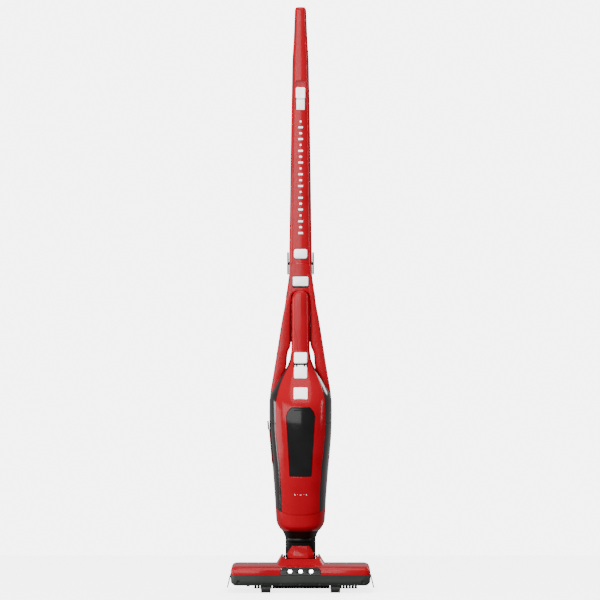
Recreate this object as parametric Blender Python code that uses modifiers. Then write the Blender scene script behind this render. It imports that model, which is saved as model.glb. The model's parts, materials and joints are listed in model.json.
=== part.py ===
"""Cordless upright stick vacuum cleaner: floor head, tilting neck, Y-shaped frame with a
folding handle, and a hand unit that lifts out of the frame.

The origin is on the floor under the middle of the object. +Z is up, the front faces -Y.
Lengths in this file are millimetres, and the solids are built in metres."""

import math

import bmesh
import bpy
from mathutils import Matrix, Vector

MM = 0.001
GAP = 0.3  # clearance between pieces that touch
WALL = 2.5  # moulded wall thickness
TOTAL_HEIGHT = 1120.0

# Floor head
HEAD_HALF_WIDTH = 133.0
HEAD_FRONT = -80.0
HEAD_REAR = 20.0
BASE_LOW = 14.5
BASE_TOP = 34.0
COVER_TOP = 50.0
BRUSH_Y = -38.0
BRUSH_Z = 23.5
BRUSH_CORE = 13.0
BRUSH_TIP = 18.5
BRUSH_END = 112.0
MOTOR_Y = 2.0
MOTOR_Z = 31.0
BELT_X = -100.0
ROLLER_X = 66.0
ROLLER_Y = -68.0
ROLLER_RADIUS = 8.0
WHEEL_X = 52.0
WHEEL_Y = 62.0
WHEEL_RADIUS = 18.0

# Neck and joints
TILT_Y = 22.0
TILT_Z = 44.0
SWIVEL_Y = 8.0
NECK_TOP = 97.7
FOLD_Y = 36.0
FOLD_Z = 626.0

# Hand unit: it rests on a rim that falls towards the front, and leaves forward and upward.
RIM_AT_AXIS = 163.4
RIM_SLOPE = 0.31
EXIT_SLOPE = math.tan(math.radians(20.0))
FRONT_POWER = 2.3
BACK_POWER = 4.0
# z, half width, half width of the red front, front y, parting y, half width and y of the back
HAND_SECTIONS = (
    (190.0, 50.0, 37.0, -61.0, 0.0, 42.0, 22.0),
    (225.0, 52.0, 39.0, -65.0, 0.0, 43.0, 22.0),
    (271.0, 56.0, 44.0, -67.5, 0.0, 43.0, 22.0),
    (306.0, 59.0, 47.0, -68.0, 0.0, 43.0, 22.0),
    (320.0, 59.6, 47.0, -67.8, 0.0, 43.0, 22.0),
    (342.0, 60.0, 47.0, -66.0, 0.0, 43.0, 22.0),
    (360.0, 60.0, 46.5, -61.0, 0.0, 43.0, 22.0),
    (372.0, 58.0, 45.0, -55.0, 0.0, 42.0, 22.0),
    (385.0, 51.5, 41.5, -46.0, 0.0, 39.0, 22.0),
    (400.0, 43.0, 36.5, -34.0, 0.0, 33.5, 22.5),
    (418.0, 31.5, 28.0, -22.0, 0.5, 25.5, 23.0),
    (428.0, 25.5, 22.5, -17.0, 1.2, 21.5, 23.5),
    (440.0, 20.5, 18.8, -12.0, 4.5, 19.0, 24.0),
    (457.4, 17.9, 17.2, -8.0, 8.0, 17.5, 24.0),
)
STRIP_SEAM = 3  # the side strips part at this section

# Grip above the body, to its rounded and sloping top: z, half width, front y, back y, hollow, fall
GRIP_PARTING = 8.0
GRIP_SECTIONS = (
    (457.8, 17.8, -8.0, 24.0, True, 0.0),
    (545.0, 17.5, -8.0, 24.0, True, 0.0),
    (556.0, 17.3, -8.0, 23.6, False, 0.1),
    (566.0, 15.6, -7.0, 22.5, False, 0.3),
    (571.0, 12.0, -5.0, 20.5, False, EXIT_SLOPE),
    (573.0, 7.0, -1.5, 17.0, False, EXIT_SLOPE),
)

# Places on the sloping front of the hand unit: (y, z) and lean in degrees
SWITCH_PLACE = (-18.0, 430.0)
SWITCH_SLOPE = 22.0
RELEASE_PLACE = (-51.5, 377.0)
RELEASE_SLOPE = 32.0

# Right half of the dust cup's window: x, z
WINDOW_HALF = (
    (18.5, 220.0),
    (20.6, 222.5),
    (23.2, 271.0),
    (27.2, 333.0),
    (24.5, 342.5),
    (19.0, 349.5),
    (15.5, 351.0),
)

# Upper handle: z, half width, front y, back y
HANDLE_SECTIONS = (
    (626.3, 22.2, 2.0, 42.0),
    (631.0, 22.2, 2.0, 42.0),
    (632.0, 22.2, 2.0, 42.0),
    (748.0, 20.5, 3.0, 41.0),
    (863.0, 18.8, 4.0, 40.0),
    (960.0, 17.0, 5.2, 39.0),
    (1017.0, 15.8, 6.0, 38.0),
    (1056.0, 13.5, 6.8, 37.0),
    (1106.0, 11.4, 8.0, 36.0),
    (1110.0, 11.2, 8.2, 35.9),
    (1117.0, 10.0, 9.2, 35.0),
    (TOTAL_HEIGHT, 7.0, 12.0, 32.0),
)
HANDLE_PARTING = 22.0
SLIDER_TOP = 964.4
SLIDER_TRAVEL = 12.0

# Frame leg: z, outer x, inner x, front y, back y
LEG_SECTIONS = (
    (152.0, 48.0, 42.0, 4.0, 29.0),
    (172.0, 49.3, 43.8, 4.0, 30.0),
    (225.0, 53.2, 45.2, 4.0, 30.0),
    (271.0, 57.4, 46.0, 4.0, 30.0),
    (306.0, 59.8, 46.0, 4.0, 30.0),
    (342.0, 60.4, 46.0, 4.0, 30.0),
    (374.0, 58.7, 44.5, 4.0, 30.0),
    (409.0, 53.0, 35.0, 4.0, 30.0),
    (426.0, 50.2, 27.5, 4.0, 30.0),
    (452.0, 46.1, 25.2, 4.0, 30.0),
    (471.0, 43.1, 18.7, 4.0, 30.0),
    (513.0, 36.5, 18.7, 3.6, 30.0),
    (547.0, 30.2, 18.0, 2.6, 30.0),
    (574.0, 26.4, 10.0, 2.2, 29.6),
    (604.0, 22.2, 4.0, 3.0, 28.8),
)


def clear_scene():
    """Removes the startup objects."""
    for obj in list(bpy.data.objects):
        bpy.data.objects.remove(obj, do_unlink=True)


def new_collection(name):
    """Adds a collection to the scene."""
    collection = bpy.data.collections.new(name)
    bpy.context.scene.collection.children.link(collection)
    return collection


clear_scene()
PARTS = new_collection("stick_vacuum")
CUTTERS = new_collection("cutters")
PIVOTS = {}


def finish(name, colour, roughness, metallic=0.0):
    """One Principled material."""
    made = bpy.data.materials.new(name)
    made.use_nodes = True
    shader = made.node_tree.nodes["Principled BSDF"]
    shader.inputs["Base Color"].default_value = (*colour, 1.0)
    shader.inputs["Roughness"].default_value = roughness
    shader.inputs["Metallic"].default_value = metallic
    made.diffuse_color = (*colour, 1.0)
    return made


GLOSS_RED = finish("gloss_red", (0.52, 0.012, 0.018), 0.12)
SATIN_SILVER = finish("satin_silver", (0.80, 0.80, 0.80), 0.35, 0.4)
SMOKE = finish("smoke_plastic", (0.03, 0.03, 0.03), 0.08)
GREY = finish("grey_plastic", (0.066, 0.069, 0.066), 0.45)
BLACK = finish("black_plastic", (0.013, 0.013, 0.013), 0.35)
RUBBER = finish("black_rubber", (0.02, 0.02, 0.02), 0.8)
STEEL = finish("steel", (0.56, 0.57, 0.58), 0.25, 1.0)
BRISTLE = finish("bristle", (0.03, 0.03, 0.03), 0.7)
FILTER = finish("filter_pleats", (0.35, 0.35, 0.33), 0.9)
BOARD = finish("circuit_board", (0.02, 0.12, 0.05), 0.5)
LED = finish("led_lens", (0.9, 0.9, 0.9), 0.1)


def pivot(body, place, parent=None):
    """An empty on a body's joint axis, that the body's pieces are parented to."""
    empty = bpy.data.objects.new(body + "_pivot", None)
    PARTS.objects.link(empty)
    start = PIVOTS[parent][1] if parent else Vector((0, 0, 0))
    empty.location = (Vector(place) - start) * MM
    if parent:
        empty.parent = PIVOTS[parent][0]
    PIVOTS[body] = (empty, Vector(place))


def object_from(name, bm, origin, collection):
    """Turns a bmesh in millimetres into an object in metres with this origin."""
    bmesh.ops.translate(bm, verts=bm.verts, vec=-origin)
    bmesh.ops.scale(bm, verts=bm.verts, vec=(MM, MM, MM))
    mesh = bpy.data.meshes.new(name)
    bm.to_mesh(mesh)
    bm.free()
    obj = bpy.data.objects.new(name, mesh)
    collection.objects.link(obj)
    return obj


def piece(name, body, material, bm):
    """A sub-part of a body. Its origin is on the body's joint axis."""
    empty, place = PIVOTS[body]
    obj = object_from(name, bm, place, PARTS)
    obj.parent = empty
    obj.data.materials.append(material)
    obj.data.shade_smooth()
    obj.data.set_sharp_from_angle(angle=math.radians(35))
    return obj


def combine(obj, operation, bm):
    """Cuts, joins or trims a sub-part with a hidden helper."""
    helper = object_from(obj.name + "_" + operation.lower(), bm, Vector((0, 0, 0)), CUTTERS)
    helper.hide_render = True
    helper.display_type = "WIRE"
    modifier = obj.modifiers.new(operation.title(), "BOOLEAN")
    modifier.operation = operation
    modifier.object = helper


def cut(obj, *tools):
    """Takes each tool's shape away."""
    for tool in tools:
        combine(obj, "DIFFERENCE", tool)


def join(obj, *tools):
    """Adds each tool's shape."""
    for tool in tools:
        combine(obj, "UNION", tool)


def block(low, high, bevel=0.0, segments=2):
    """A box between two corners, with its edges rounded if bevel is given."""
    low, high = Vector(low), Vector(high)
    bm = bmesh.new()
    bmesh.ops.create_cube(bm, size=1.0)
    bmesh.ops.scale(bm, verts=bm.verts, vec=high - low)
    bmesh.ops.translate(bm, verts=bm.verts, vec=(low + high) / 2)
    if bevel:
        bmesh.ops.bevel(bm, geom=bm.edges[:], offset=bevel, segments=segments, profile=0.5, affect="EDGES")
    return bm


def rod(start, end, radius, end_radius=None, segments=24):
    """A cylinder or cone between two points."""
    start, end = Vector(start), Vector(end)
    way = end - start
    bm = bmesh.new()
    bmesh.ops.create_cone(
        bm,
        cap_ends=True,
        segments=segments,
        radius1=radius,
        radius2=radius if end_radius is None else end_radius,
        depth=way.length,
    )
    turn = Vector((0, 0, 1)).rotation_difference(way).to_matrix()
    bmesh.ops.rotate(bm, verts=bm.verts, matrix=turn)
    bmesh.ops.translate(bm, verts=bm.verts, vec=(start + end) / 2)
    return bm


def sloped_block(centre, size, slope, bevel=0.0):
    """A box whose top leans back by slope degrees, about the X axis through its centre."""
    half = Vector(size) / 2
    bm = block(-half, half, bevel)
    turn = Vector((0, 0, 1)).rotation_difference(
        Vector((0, math.sin(math.radians(slope)), math.cos(math.radians(slope))))
    )
    bmesh.ops.rotate(bm, verts=bm.verts, matrix=turn.to_matrix())
    bmesh.ops.translate(bm, verts=bm.verts, vec=centre)
    return bm


def along(slope):
    """Unit vectors up a sloped face and out of it."""
    angle = math.radians(slope)
    up = Vector((0, math.sin(angle), math.cos(angle)))
    out = Vector((0, -math.cos(angle), math.sin(angle)))
    return up, out


def turned(name, body, material, profile, centre, steps=24):
    """A ring turned about the X axis. The closed profile holds (radius, place along the axis)."""
    empty, place = PIVOTS[body]
    bm = bmesh.new()
    corners = [bm.verts.new((radius, 0, along_axis)) for radius, along_axis in profile]
    for index, corner in enumerate(corners):
        bm.edges.new((corner, corners[(index + 1) % len(corners)]))
    obj = object_from(name, bm, Vector((0, 0, 0)), PARTS)
    obj.parent = empty
    obj.location = (Vector(centre) - place) * MM
    obj.rotation_euler = (0, math.radians(90), 0)
    obj.data.materials.append(material)
    screw = obj.modifiers.new("Screw", "SCREW")
    screw.steps = steps
    screw.render_steps = steps
    screw.use_merge_vertices = True
    screw.merge_threshold = 0.00001
    screw.use_smooth_shade = True
    return obj


def extruded(outlines, low, high):
    """Flat outlines of (y, z) points, filled between them, and run along X from low to high."""
    curve = bpy.data.curves.new("outline", "CURVE")
    curve.dimensions = "2D"
    curve.fill_mode = "BOTH"
    curve.extrude = (high - low) / 2
    for outline in outlines:
        spline = curve.splines.new("POLY")
        spline.points.add(len(outline) - 1)
        for point, (y, z) in zip(spline.points, outline):
            point.co = (y, z, 0, 1)
        spline.use_cyclic_u = True
    guide = bpy.data.objects.new("outline", curve)
    bpy.context.scene.collection.objects.link(guide)
    graph = bpy.context.evaluated_depsgraph_get()
    mesh = bpy.data.meshes.new_from_object(guide.evaluated_get(graph))
    bpy.data.objects.remove(guide, do_unlink=True)
    bm = bmesh.new()
    bm.from_mesh(mesh)
    bpy.data.meshes.remove(mesh)
    bmesh.ops.remove_doubles(bm, verts=bm.verts, dist=0.001)
    for vert in bm.verts:
        across, up, depth = vert.co
        vert.co = (depth + (low + high) / 2, across, up)
    bmesh.ops.recalc_face_normals(bm, faces=bm.faces)
    return bm


def loft(rings):
    """A closed solid through rings that have the same number of points."""
    bm = bmesh.new()
    loops = [[bm.verts.new(point) for point in ring] for ring in rings]
    for lower, upper in zip(loops, loops[1:]):
        for index in range(len(lower)):
            after = (index + 1) % len(lower)
            bm.faces.new((lower[index], lower[after], upper[after], upper[index]))
    bm.faces.new(loops[0])
    bm.faces.new(loops[-1])
    bmesh.ops.recalc_face_normals(bm, faces=bm.faces)
    return bm


def mirrored(bm):
    """The same shape on the other side of x = 0."""
    bmesh.ops.scale(bm, verts=bm.verts, vec=(-1, 1, 1))
    bmesh.ops.reverse_faces(bm, faces=bm.faces)
    return bm


def bow(half_width, depth, power, steps=12, start=0.0, stop=math.pi):
    """Points of a rounded arch, from +x round to -x. Power 2 is an ellipse, more is squarer."""
    points = []
    for index in range(steps + 1):
        angle = start + (stop - start) * index / steps
        across = math.cos(angle)
        x = half_width * math.copysign(abs(across) ** (2 / power), across)
        y = depth * abs(math.sin(angle)) ** (2 / power)
        points.append((x, y))
    return points


def angle_at(x, half_width, power):
    """The angle at which a bow passes x."""
    return math.acos(min(1.0, x / half_width) ** (power / 2))


def oval(z, half_width, front, back, middle=None, powers=(2.3, 2.3), slope=0.0, steps=10):
    """A closed rounded ring. Slope raises it by that much for each millimetre towards the back."""
    middle = (front + back) / 2 if middle is None else middle
    points = [(x, middle - y) for x, y in bow(half_width, middle - front, powers[0], steps)]
    points += [(-x, middle + y) for x, y in bow(half_width, back - middle, powers[1], steps)[1:-1]]
    return [(x, y, z + slope * y) for x, y in points]


def half_shell_ring(z, half_width, parting, depth, side, hollow=True,
                    span=(0.0, math.pi), slope=0.0, power=FRONT_POWER):
    """The section of half a moulded casing: its outer arch and its inner one. Side is -1 in front."""
    outer = bow(half_width, depth, power, 12, *span)
    inner = bow(half_width - WALL, depth - WALL if hollow else 0.0, power, 12, *span)
    return [(x, parting + side * y, z + slope * (parting + side * y)) for x, y in outer + inner[::-1]]


def rounded_rectangle(z, half_width, front, back, radius, steps=4):
    """A rectangle with round corners, as a ring at height z."""
    points = []
    corners = (
        (half_width - radius, back - radius, 0),
        (radius - half_width, back - radius, 90),
        (radius - half_width, front + radius, 180),
        (half_width - radius, front + radius, 270),
    )
    for x, y, start in corners:
        for index in range(steps + 1):
            angle = math.radians(start + 90 * index / steps)
            points.append((x + radius * math.cos(angle), y + radius * math.sin(angle), z))
    return points


def circle(centre, radius, steps=24):
    """Points round a circle in the plane of Y and Z."""
    turns = [2 * math.pi * index / steps for index in range(steps)]
    return [(centre[0] + radius * math.cos(turn), centre[1] + radius * math.sin(turn)) for turn in turns]


def belt_outline(first, first_radius, second, second_radius, steps=12):
    """The line round two pulleys in the plane of Y and Z."""
    way = Vector(second) - Vector(first)
    heading = math.atan2(way.y, way.x)
    lean = math.acos((first_radius - second_radius) / way.length)
    points = []
    for centre, radius, start, stop in (
        (first, first_radius, heading + lean, heading + 2 * math.pi - lean),
        (second, second_radius, heading - lean, heading + lean),
    ):
        for index in range(steps + 1):
            angle = start + (stop - start) * index / steps
            points.append((centre[0] + radius * math.cos(angle), centre[1] + radius * math.sin(angle)))
    return points


def build_head_base():
    """The grey tray: brush chamber, motor bays, hinge ears and the arm of the rear axle."""
    base = piece("head_base", "floor_head", GREY, loft([
        rounded_rectangle(BASE_LOW, 127.0, HEAD_FRONT + 2.5, HEAD_REAR - 2, 9),
        rounded_rectangle(BASE_LOW + 5, 132.0, HEAD_FRONT, HEAD_REAR, 12),
        rounded_rectangle(BASE_TOP, HEAD_HALF_WIDTH, HEAD_FRONT, HEAD_REAR, 12),
    ]))
    join(base, block((-36, 10, 10), (36, WHEEL_Y + 8, 28), 3))
    for side in (-1, 1):
        near, far = sorted((side * 29.2, side * 33.4))
        join(base, block((near, 8, 20), (far, 36, 62), 1.5))
    cut(base, block((-118, -60, -5), (118, -16, 60)))
    cut(base, rod((-28.8, TILT_Y, TILT_Z), (28.8, TILT_Y, TILT_Z), 13.2))
    cut(base, block((-18, -20, 19), (18, 26, 33)))
    for side in (-1, 1):
        near, far = sorted((side * 38, side * 112))
        cut(base, block((near, -12, 18), (far, 16, 60)))
        cut(base, rod((side * 20, TILT_Y, TILT_Z), (side * 40, TILT_Y, TILT_Z), 5.3))
        x = side * ROLLER_X
        cut(base, block((x - 9.8, ROLLER_Y - 9, 5), (x + 9.8, ROLLER_Y + 9, 18)))
    cut(base, block((-106, -20, 12), (-94, -8, 60)))
    cut(base, rod((-60, WHEEL_Y, WHEEL_RADIUS), (60, WHEEL_Y, WHEEL_RADIUS), 3.3))
    for x in (-37, 0, 37):
        cut(base, block((x - 6, HEAD_FRONT - 5, 10), (x + 6, HEAD_FRONT + 3, BASE_LOW + 4)))


def window_ring(z, half, front, back):
    """A level section of the window over the lights, or of its cutter."""
    return [(-half, front, z), (half, front, z), (half, back, z), (-half, back, z)]


def build_head_cover():
    """The red cover with its faceted hump, the window and the lights behind it."""
    rear = HEAD_REAR
    low = BASE_TOP + GAP
    cover = piece("head_top_cover", "floor_head", GLOSS_RED, loft([
        rounded_rectangle(low, HEAD_HALF_WIDTH, HEAD_FRONT, rear, 12),
        rounded_rectangle(44, 132.0, HEAD_FRONT + 1.4, rear - 1, 11),
        rounded_rectangle(48.2, 129.5, HEAD_FRONT + 5.5, rear - 3.5, 9),
        rounded_rectangle(COVER_TOP, 125.0, HEAD_FRONT + 11, rear - 8, 6),
    ]))
    join(cover, loft([
        rounded_rectangle(low, 49, -46, 41, 3, 1),
        rounded_rectangle(46.4, 47, -44, 41, 3, 1),
        rounded_rectangle(59.5, 39, -25, 40, 3, 1),
        rounded_rectangle(64, 37, -12, 36, 3, 1),
    ]))
    cut(cover, block((-129.5, HEAD_FRONT + 4.5, 20), (129.5, rear - 4, 46.2), 3))
    cut(cover, block((-29.5, -23.5, 50), (29.5, 60, 80)))
    cut(cover, block((-33.8, -15, 20), (33.8, 60, 80)))
    cut(cover, block((-45, 0, 20), (45, 38, 46)))
    cut(cover, loft([
        window_ring(30, 38.4, -90, -68),
        window_ring(44, 38.4, -90, -68),
        window_ring(48.6, 33.4, -90, -68),
    ]))
    window = piece("led_window", "floor_head", SMOKE, loft([
        window_ring(low, 38.0, HEAD_FRONT + 0.3, -75.5),
        window_ring(43.8, 38.0, HEAD_FRONT + 1.7, -75.5),
        window_ring(48.2, 33.1, HEAD_FRONT + 5.8, -72.5),
    ]))
    board = piece("led_board", "floor_head", LED, block((-30, -71.5, 36.5), (30, -70, 45.8)))
    for x in (-20, 0, 20):
        cut(window, rod((x, -90, 41.5), (x, -60, 41.5), 3.6, segments=16))
        join(board, rod((x, -79, 41.5), (x, -71, 41.5), 2.6, 3.2, segments=16))


def build_head_bottom():
    """The sole plate with its rear lip, and the latch that frees the brush."""
    sole = piece("sole_plate", "floor_head", GREY,
                 block((-126, -14.5, 11.7), (126, 17.5, BASE_LOW - GAP), 1, 1))
    cut(sole, block((-60, 8.5, 0), (60, 30, 30)))
    join(sole, loft([
        rounded_rectangle(2.0, 51, -12, 7, 3),
        rounded_rectangle(12.0, 58, -13.5, 8, 3),
    ]))
    piece("brush_latch", "brush_latch", BLACK, block((92, -8, 8.4), (110, 6, 11.4), 1))


def build_brush():
    """The brush roll, its bearings, motor and belt."""
    teeth = 6
    star = []
    for index in range(teeth):
        for turn, radius in ((0, BRUSH_CORE), (14, BRUSH_TIP), (22, BRUSH_TIP), (36, BRUSH_CORE)):
            angle = math.radians(360 * index / teeth + turn)
            star.append((BRUSH_Y + radius * math.cos(angle), BRUSH_Z + radius * math.sin(angle)))
    roll = piece("brush_roll", "brush_roll", BRISTLE, extruded([star], -91, BRUSH_END))
    ends = (BRUSH_END, BRUSH_END + 5)
    join(roll, rod((-BRUSH_END, BRUSH_Y, BRUSH_Z), (-90, BRUSH_Y, BRUSH_Z), BRUSH_CORE - 0.5))
    join(roll, rod((-ends[1], BRUSH_Y, BRUSH_Z), (ends[1], BRUSH_Y, BRUSH_Z), 4, segments=16))
    ring = [(9, 2), (9, -2), (4.4, -2), (4.4, 2)]
    for name, side in (("left", -1), ("right", 1)):
        turned("brush_bearing_" + name, "floor_head", STEEL, ring, (side * 115.2, BRUSH_Y, BRUSH_Z), 16)
    piece("brush_motor", "floor_head", STEEL, rod((-90, MOTOR_Y, MOTOR_Z), (-42, MOTOR_Y, MOTOR_Z), 12.3))
    pulley = rod((BELT_X - 3.5, MOTOR_Y, MOTOR_Z), (-90.4, MOTOR_Y, MOTOR_Z), 5.5, segments=16)
    piece("motor_pulley", "motor_pulley", STEEL, pulley)
    ends = ((BRUSH_Y, BRUSH_Z), BRUSH_CORE), ((MOTOR_Y, MOTOR_Z), 6)
    outlines = [
        belt_outline(ends[0][0], ends[0][1] + gap, ends[1][0], ends[1][1] + gap)
        for gap in (1.6, 0.2)
    ]
    piece("drive_belt", "floor_head", RUBBER, extruded(outlines, BELT_X - 3, BELT_X + 3))


def build_wheels():
    """Front rollers, rear wheels and the rear axle."""
    axle_bore = 3.4
    for name, side in (("left", -1), ("right", 1)):
        place = (side * ROLLER_X, ROLLER_Y, ROLLER_RADIUS)
        body = "front_roller_" + name
        tyre = rod((place[0] - 9, *place[1:]), (place[0] + 9, *place[1:]), ROLLER_RADIUS)
        stub = rod((place[0] - 9.5, *place[1:]), (place[0] + 9.5, *place[1:]), 2)
        join(piece(body, body, GREY, tyre), stub)
        body = "rear_wheel_" + name
        rim = [(15, 8), (WHEEL_RADIUS, 6), (WHEEL_RADIUS, -6), (15, -8), (axle_bore, -8), (axle_bore, 8)]
        turned(body, body, RUBBER, rim, (side * WHEEL_X, WHEEL_Y, WHEEL_RADIUS))
    axle = rod((-62, WHEEL_Y, WHEEL_RADIUS), (62, WHEEL_Y, WHEEL_RADIUS), 3, segments=16)
    piece("rear_axle", "floor_head", STEEL, axle)


def build_side_bristles():
    """A strip of bristles on each end, leaning out."""
    for name, side in (("left", -1), ("right", 1)):
        low, high = (-68, -22)
        rings = []
        for z, x in ((9.5, 138.6), (31, 133.4)):
            near, far = side * x, side * (x + 1.4)
            rings.append([(near, low, z), (far, low, z), (far, high, z), (near, high, z)])
        piece("side_bristle_" + name, "floor_head", BRISTLE, loft(rings))


def build_neck():
    """The black knuckle that tilts in the head and swivels under the frame, with its red cover."""
    round_half = 29.0
    yoke = piece("neck_yoke", "neck", BLACK, loft([
        oval(46, 28.7, 10, 34, powers=(4, 4)),
        oval(58, 28.8, -4, 34, powers=(4, 4)),
        oval(64, 29, -13, 34, powers=(3, 3)),
        oval(90, 29, -14, 31, SWIVEL_Y, (2.6, 2.6)),
        oval(93, round_half, SWIVEL_Y - round_half, SWIVEL_Y + round_half, powers=(2, 2)),
        oval(NECK_TOP, round_half, SWIVEL_Y - round_half, SWIVEL_Y + round_half, powers=(2, 2)),
    ]))
    join(yoke, rod((-28.7, TILT_Y, TILT_Z), (28.7, TILT_Y, TILT_Z), 12.5))
    join(yoke, rod((0, SWIVEL_Y, 90), (0, SWIVEL_Y, 112), 12.6))
    cut(yoke, rod((0, TILT_Y, 20), (0, SWIVEL_Y + 0.1, 94), 9))
    cut(yoke, rod((0, SWIVEL_Y, 92), (0, SWIVEL_Y, 120), 9))
    for name, side in (("left", -1), ("right", 1)):
        cut(yoke, rod((side * 22, TILT_Y, TILT_Z), (side * 40, TILT_Y, TILT_Z), 5.3))
        pin = rod((side * 22.5, TILT_Y, TILT_Z), (side * 33.4, TILT_Y, TILT_Z), 4.9, segments=16)
        piece("tilt_pin_" + name, "floor_head", STEEL, pin)
    wedge = []
    for z, half, front, back in ((60.5, 25, -23, -14.6), (70, 25.5, -22, -14.6), (84, 16.5, -17.5, -14.6)):
        wedge.append([
            (-half, back, z), (-half, back - 1, z), (-half * 0.55, front, z),
            (half * 0.55, front, z), (half, back - 1, z), (half, back, z),
        ])
    piece("neck_cover", "neck", GLOSS_RED, loft(wedge))


def build_cradle():
    """The red frame: yoke on top, two legs, a web behind the grip and the cup at the bottom."""
    cradle = piece("frame_cradle", "frame", GLOSS_RED, loft([
        oval(560, 29.0, 2.6, 30, powers=(4, 5)),
        oval(574, 26.4, 1.2, 30, powers=(4, 5)),
        oval(590, 24.0, 1.2, 29.4, powers=(4, 5)),
        oval(603, 22.3, 2.0, 29, powers=(4, 5)),
        oval(FOLD_Z - GAP, 22.2, 2.0, 28.8, powers=(4, 5)),
    ]))
    for side in (-1, 1):
        rings = []
        for z, outer, inner, front, back in LEG_SECTIONS:
            soft = 3
            ring = [
                (inner, front, z), (outer - soft, front, z), (outer, front + soft, z),
                (outer, back - soft, z), (outer - soft, back, z), (inner, back, z),
            ]
            rings.append([(side * x, y, height) for x, y, height in ring])
        join(cradle, loft(rings))
    join(cradle, block((-24, 25.4, 474), (24, 29.5, 590)))
    cup_power = (FRONT_POWER, 4.0)
    join(cradle, loft([
        oval(113.3, 36, -38, 36, 0, cup_power),
        oval(122, 42.5, -48, 36, 0, cup_power),
        oval(133, 46.6, -54, 35, 0, cup_power),
        oval(RIM_AT_AXIS - 0.4, 48.5, -56, 33, 0, cup_power, RIM_SLOPE),
    ]))
    pocket = []
    for y in (25.4, -40):
        top = 574.6 - EXIT_SLOPE * y
        pocket.append([
            (-18.4, y, 430), (-18.4, y, top - 12), (-15, y, top - 4), (-9, y, top),
            (9, y, top), (15, y, top - 4), (18.4, y, top - 12), (18.4, y, 430),
        ])
    cut(cradle, loft(pocket))
    channel = []
    for y in (15.5, -62):
        floor = 147.2 - EXIT_SLOPE * (y + 52)
        channel.append([(-20.6, y, floor), (20.6, y, floor), (20.6, y, 260), (-20.6, y, 260)])
    cut(cradle, loft(channel))
    cut(cradle, rod((0, SWIVEL_Y, 90), (0, SWIVEL_Y, 140), 13.2))
    cut(cradle, block((-15.3, -10, 581.7), (15.3, 16, 600.3), 2))
    cut(cradle, block((-8.6, 8, 616), (8.6, 18, 640)))


def build_frame_fittings():
    """Collar, seal, contacts and the parts of the folding hinge that stay with the frame."""
    collar = piece("swivel_collar", "frame", BLACK, loft([
        oval(98.1, 29.5, SWIVEL_Y - 29.5, SWIVEL_Y + 28, powers=(2, 2)),
        oval(113, 35.6, -37.5, 36, 0, (FRONT_POWER, 4.0)),
    ]))
    cut(collar, rod((0, SWIVEL_Y, 90), (0, SWIVEL_Y, 120), 13.2))
    seal = piece("cup_seal", "frame", RUBBER, rod((0, SWIVEL_Y, 113.6), (0, SWIVEL_Y, 117.4), 12.8))
    cut(seal, rod((0, SWIVEL_Y, 110), (0, SWIVEL_Y, 120), 9.6))
    piece("contact_block", "frame", BLACK, block((-12, 23.8, 173.4), (12, 28.6, 190), 1))
    ear_middle = (30, FOLD_Z)
    for name, side in (("left", -1), ("right", 1)):
        inner, outer = 22.6, 26.0
        straight = 8
        ear_line = [(ear_middle[0] + y, ear_middle[1] + z + (straight if z >= 0 else -straight))
                    for y, z in circle((0, 0), 14, 20)]
        ear = piece("hinge_ear_" + name, "frame", BLACK,
                    extruded([ear_line], min(side * inner, side * outer), max(side * inner, side * outer)))
        cut(ear, rod((side * 20, FOLD_Y, FOLD_Z), (side * 24.8, FOLD_Y, FOLD_Z), 3.1, segments=16))
    pin = rod((-24.5, FOLD_Y, FOLD_Z), (24.5, FOLD_Y, FOLD_Z), 2.8, segments=16)
    piece("hinge_pin", "frame", STEEL, pin)
    piece("release_button", "release_button", SATIN_SILVER, block((-15, 0.2, 582), (15, 5.5, 600), 1.6))
    piece("release_latch", "release_button", BLACK, block((-9, 5.8, 584), (9, 12.4, 597), 0.8))


def build_handle():
    """The folding upper handle: two half casings, the main switch and the fold button."""
    shells = {}
    for name, side, material in (("handle_front", -1, GLOSS_RED), ("handle_back", 1, GLOSS_RED)):
        rings = []
        for z, half, front, back in HANDLE_SECTIONS:
            depth = (HANDLE_PARTING - front if side < 0 else back - HANDLE_PARTING) - GAP / 2
            hollow = 631.5 < z < 1108
            parting = HANDLE_PARTING + side * GAP / 2
            rings.append(half_shell_ring(z, half, parting, depth, side, hollow, power=2.6))
        shells[name] = piece(name, "handle", material, loft(rings))
    front, back = shells["handle_front"], shells["handle_back"]
    cut(back, block((-30, 29, 620), (30, 50, 632.4)))
    join(back, rod((-21.6, FOLD_Y, FOLD_Z), (21.6, FOLD_Y, FOLD_Z), 6))
    join(back, block((-21.2, 30.2, FOLD_Z + 0.5), (21.2, 41.6, 634)))
    cut(back, rod((-30, FOLD_Y, FOLD_Z), (30, FOLD_Y, FOLD_Z), 3.1, segments=16))
    cut(front, block((-13.3, -5, 634.2), (13.3, 14, 653.8), 2))
    cut(front, block((-9.5, -5, 920.6), (9.5, 15, SLIDER_TOP + SLIDER_TRAVEL + 1), 2))
    cut(front, block((-8.6, 8, 620), (8.6, 18, 640)))
    piece("slide_plate", "handle", SATIN_SILVER, block((-7.8, 4.6, 921), (7.8, 12, 941.6), 1))
    piece("power_slider", "power_slider", SATIN_SILVER, block((-9.1, 3.6, 942.2), (9.1, 10, SLIDER_TOP), 2.2))
    piece("fold_button", "fold_button", SATIN_SILVER, block((-13, 0.9, 634.5), (13, 6.5, 653.5), 2))
    piece("fold_latch", "handle", STEEL, block((-8, 9.8, 618.5), (8, 13.2, 633.6), 0.6))


def front_shell_spans(hand_half, red_half):
    """Angles of the red front and of one side strip on the casing's section."""
    strip_end = angle_at(red_half + 0.45, hand_half, FRONT_POWER)
    red_start = angle_at(red_half, hand_half, FRONT_POWER)
    return red_start, strip_end


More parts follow.
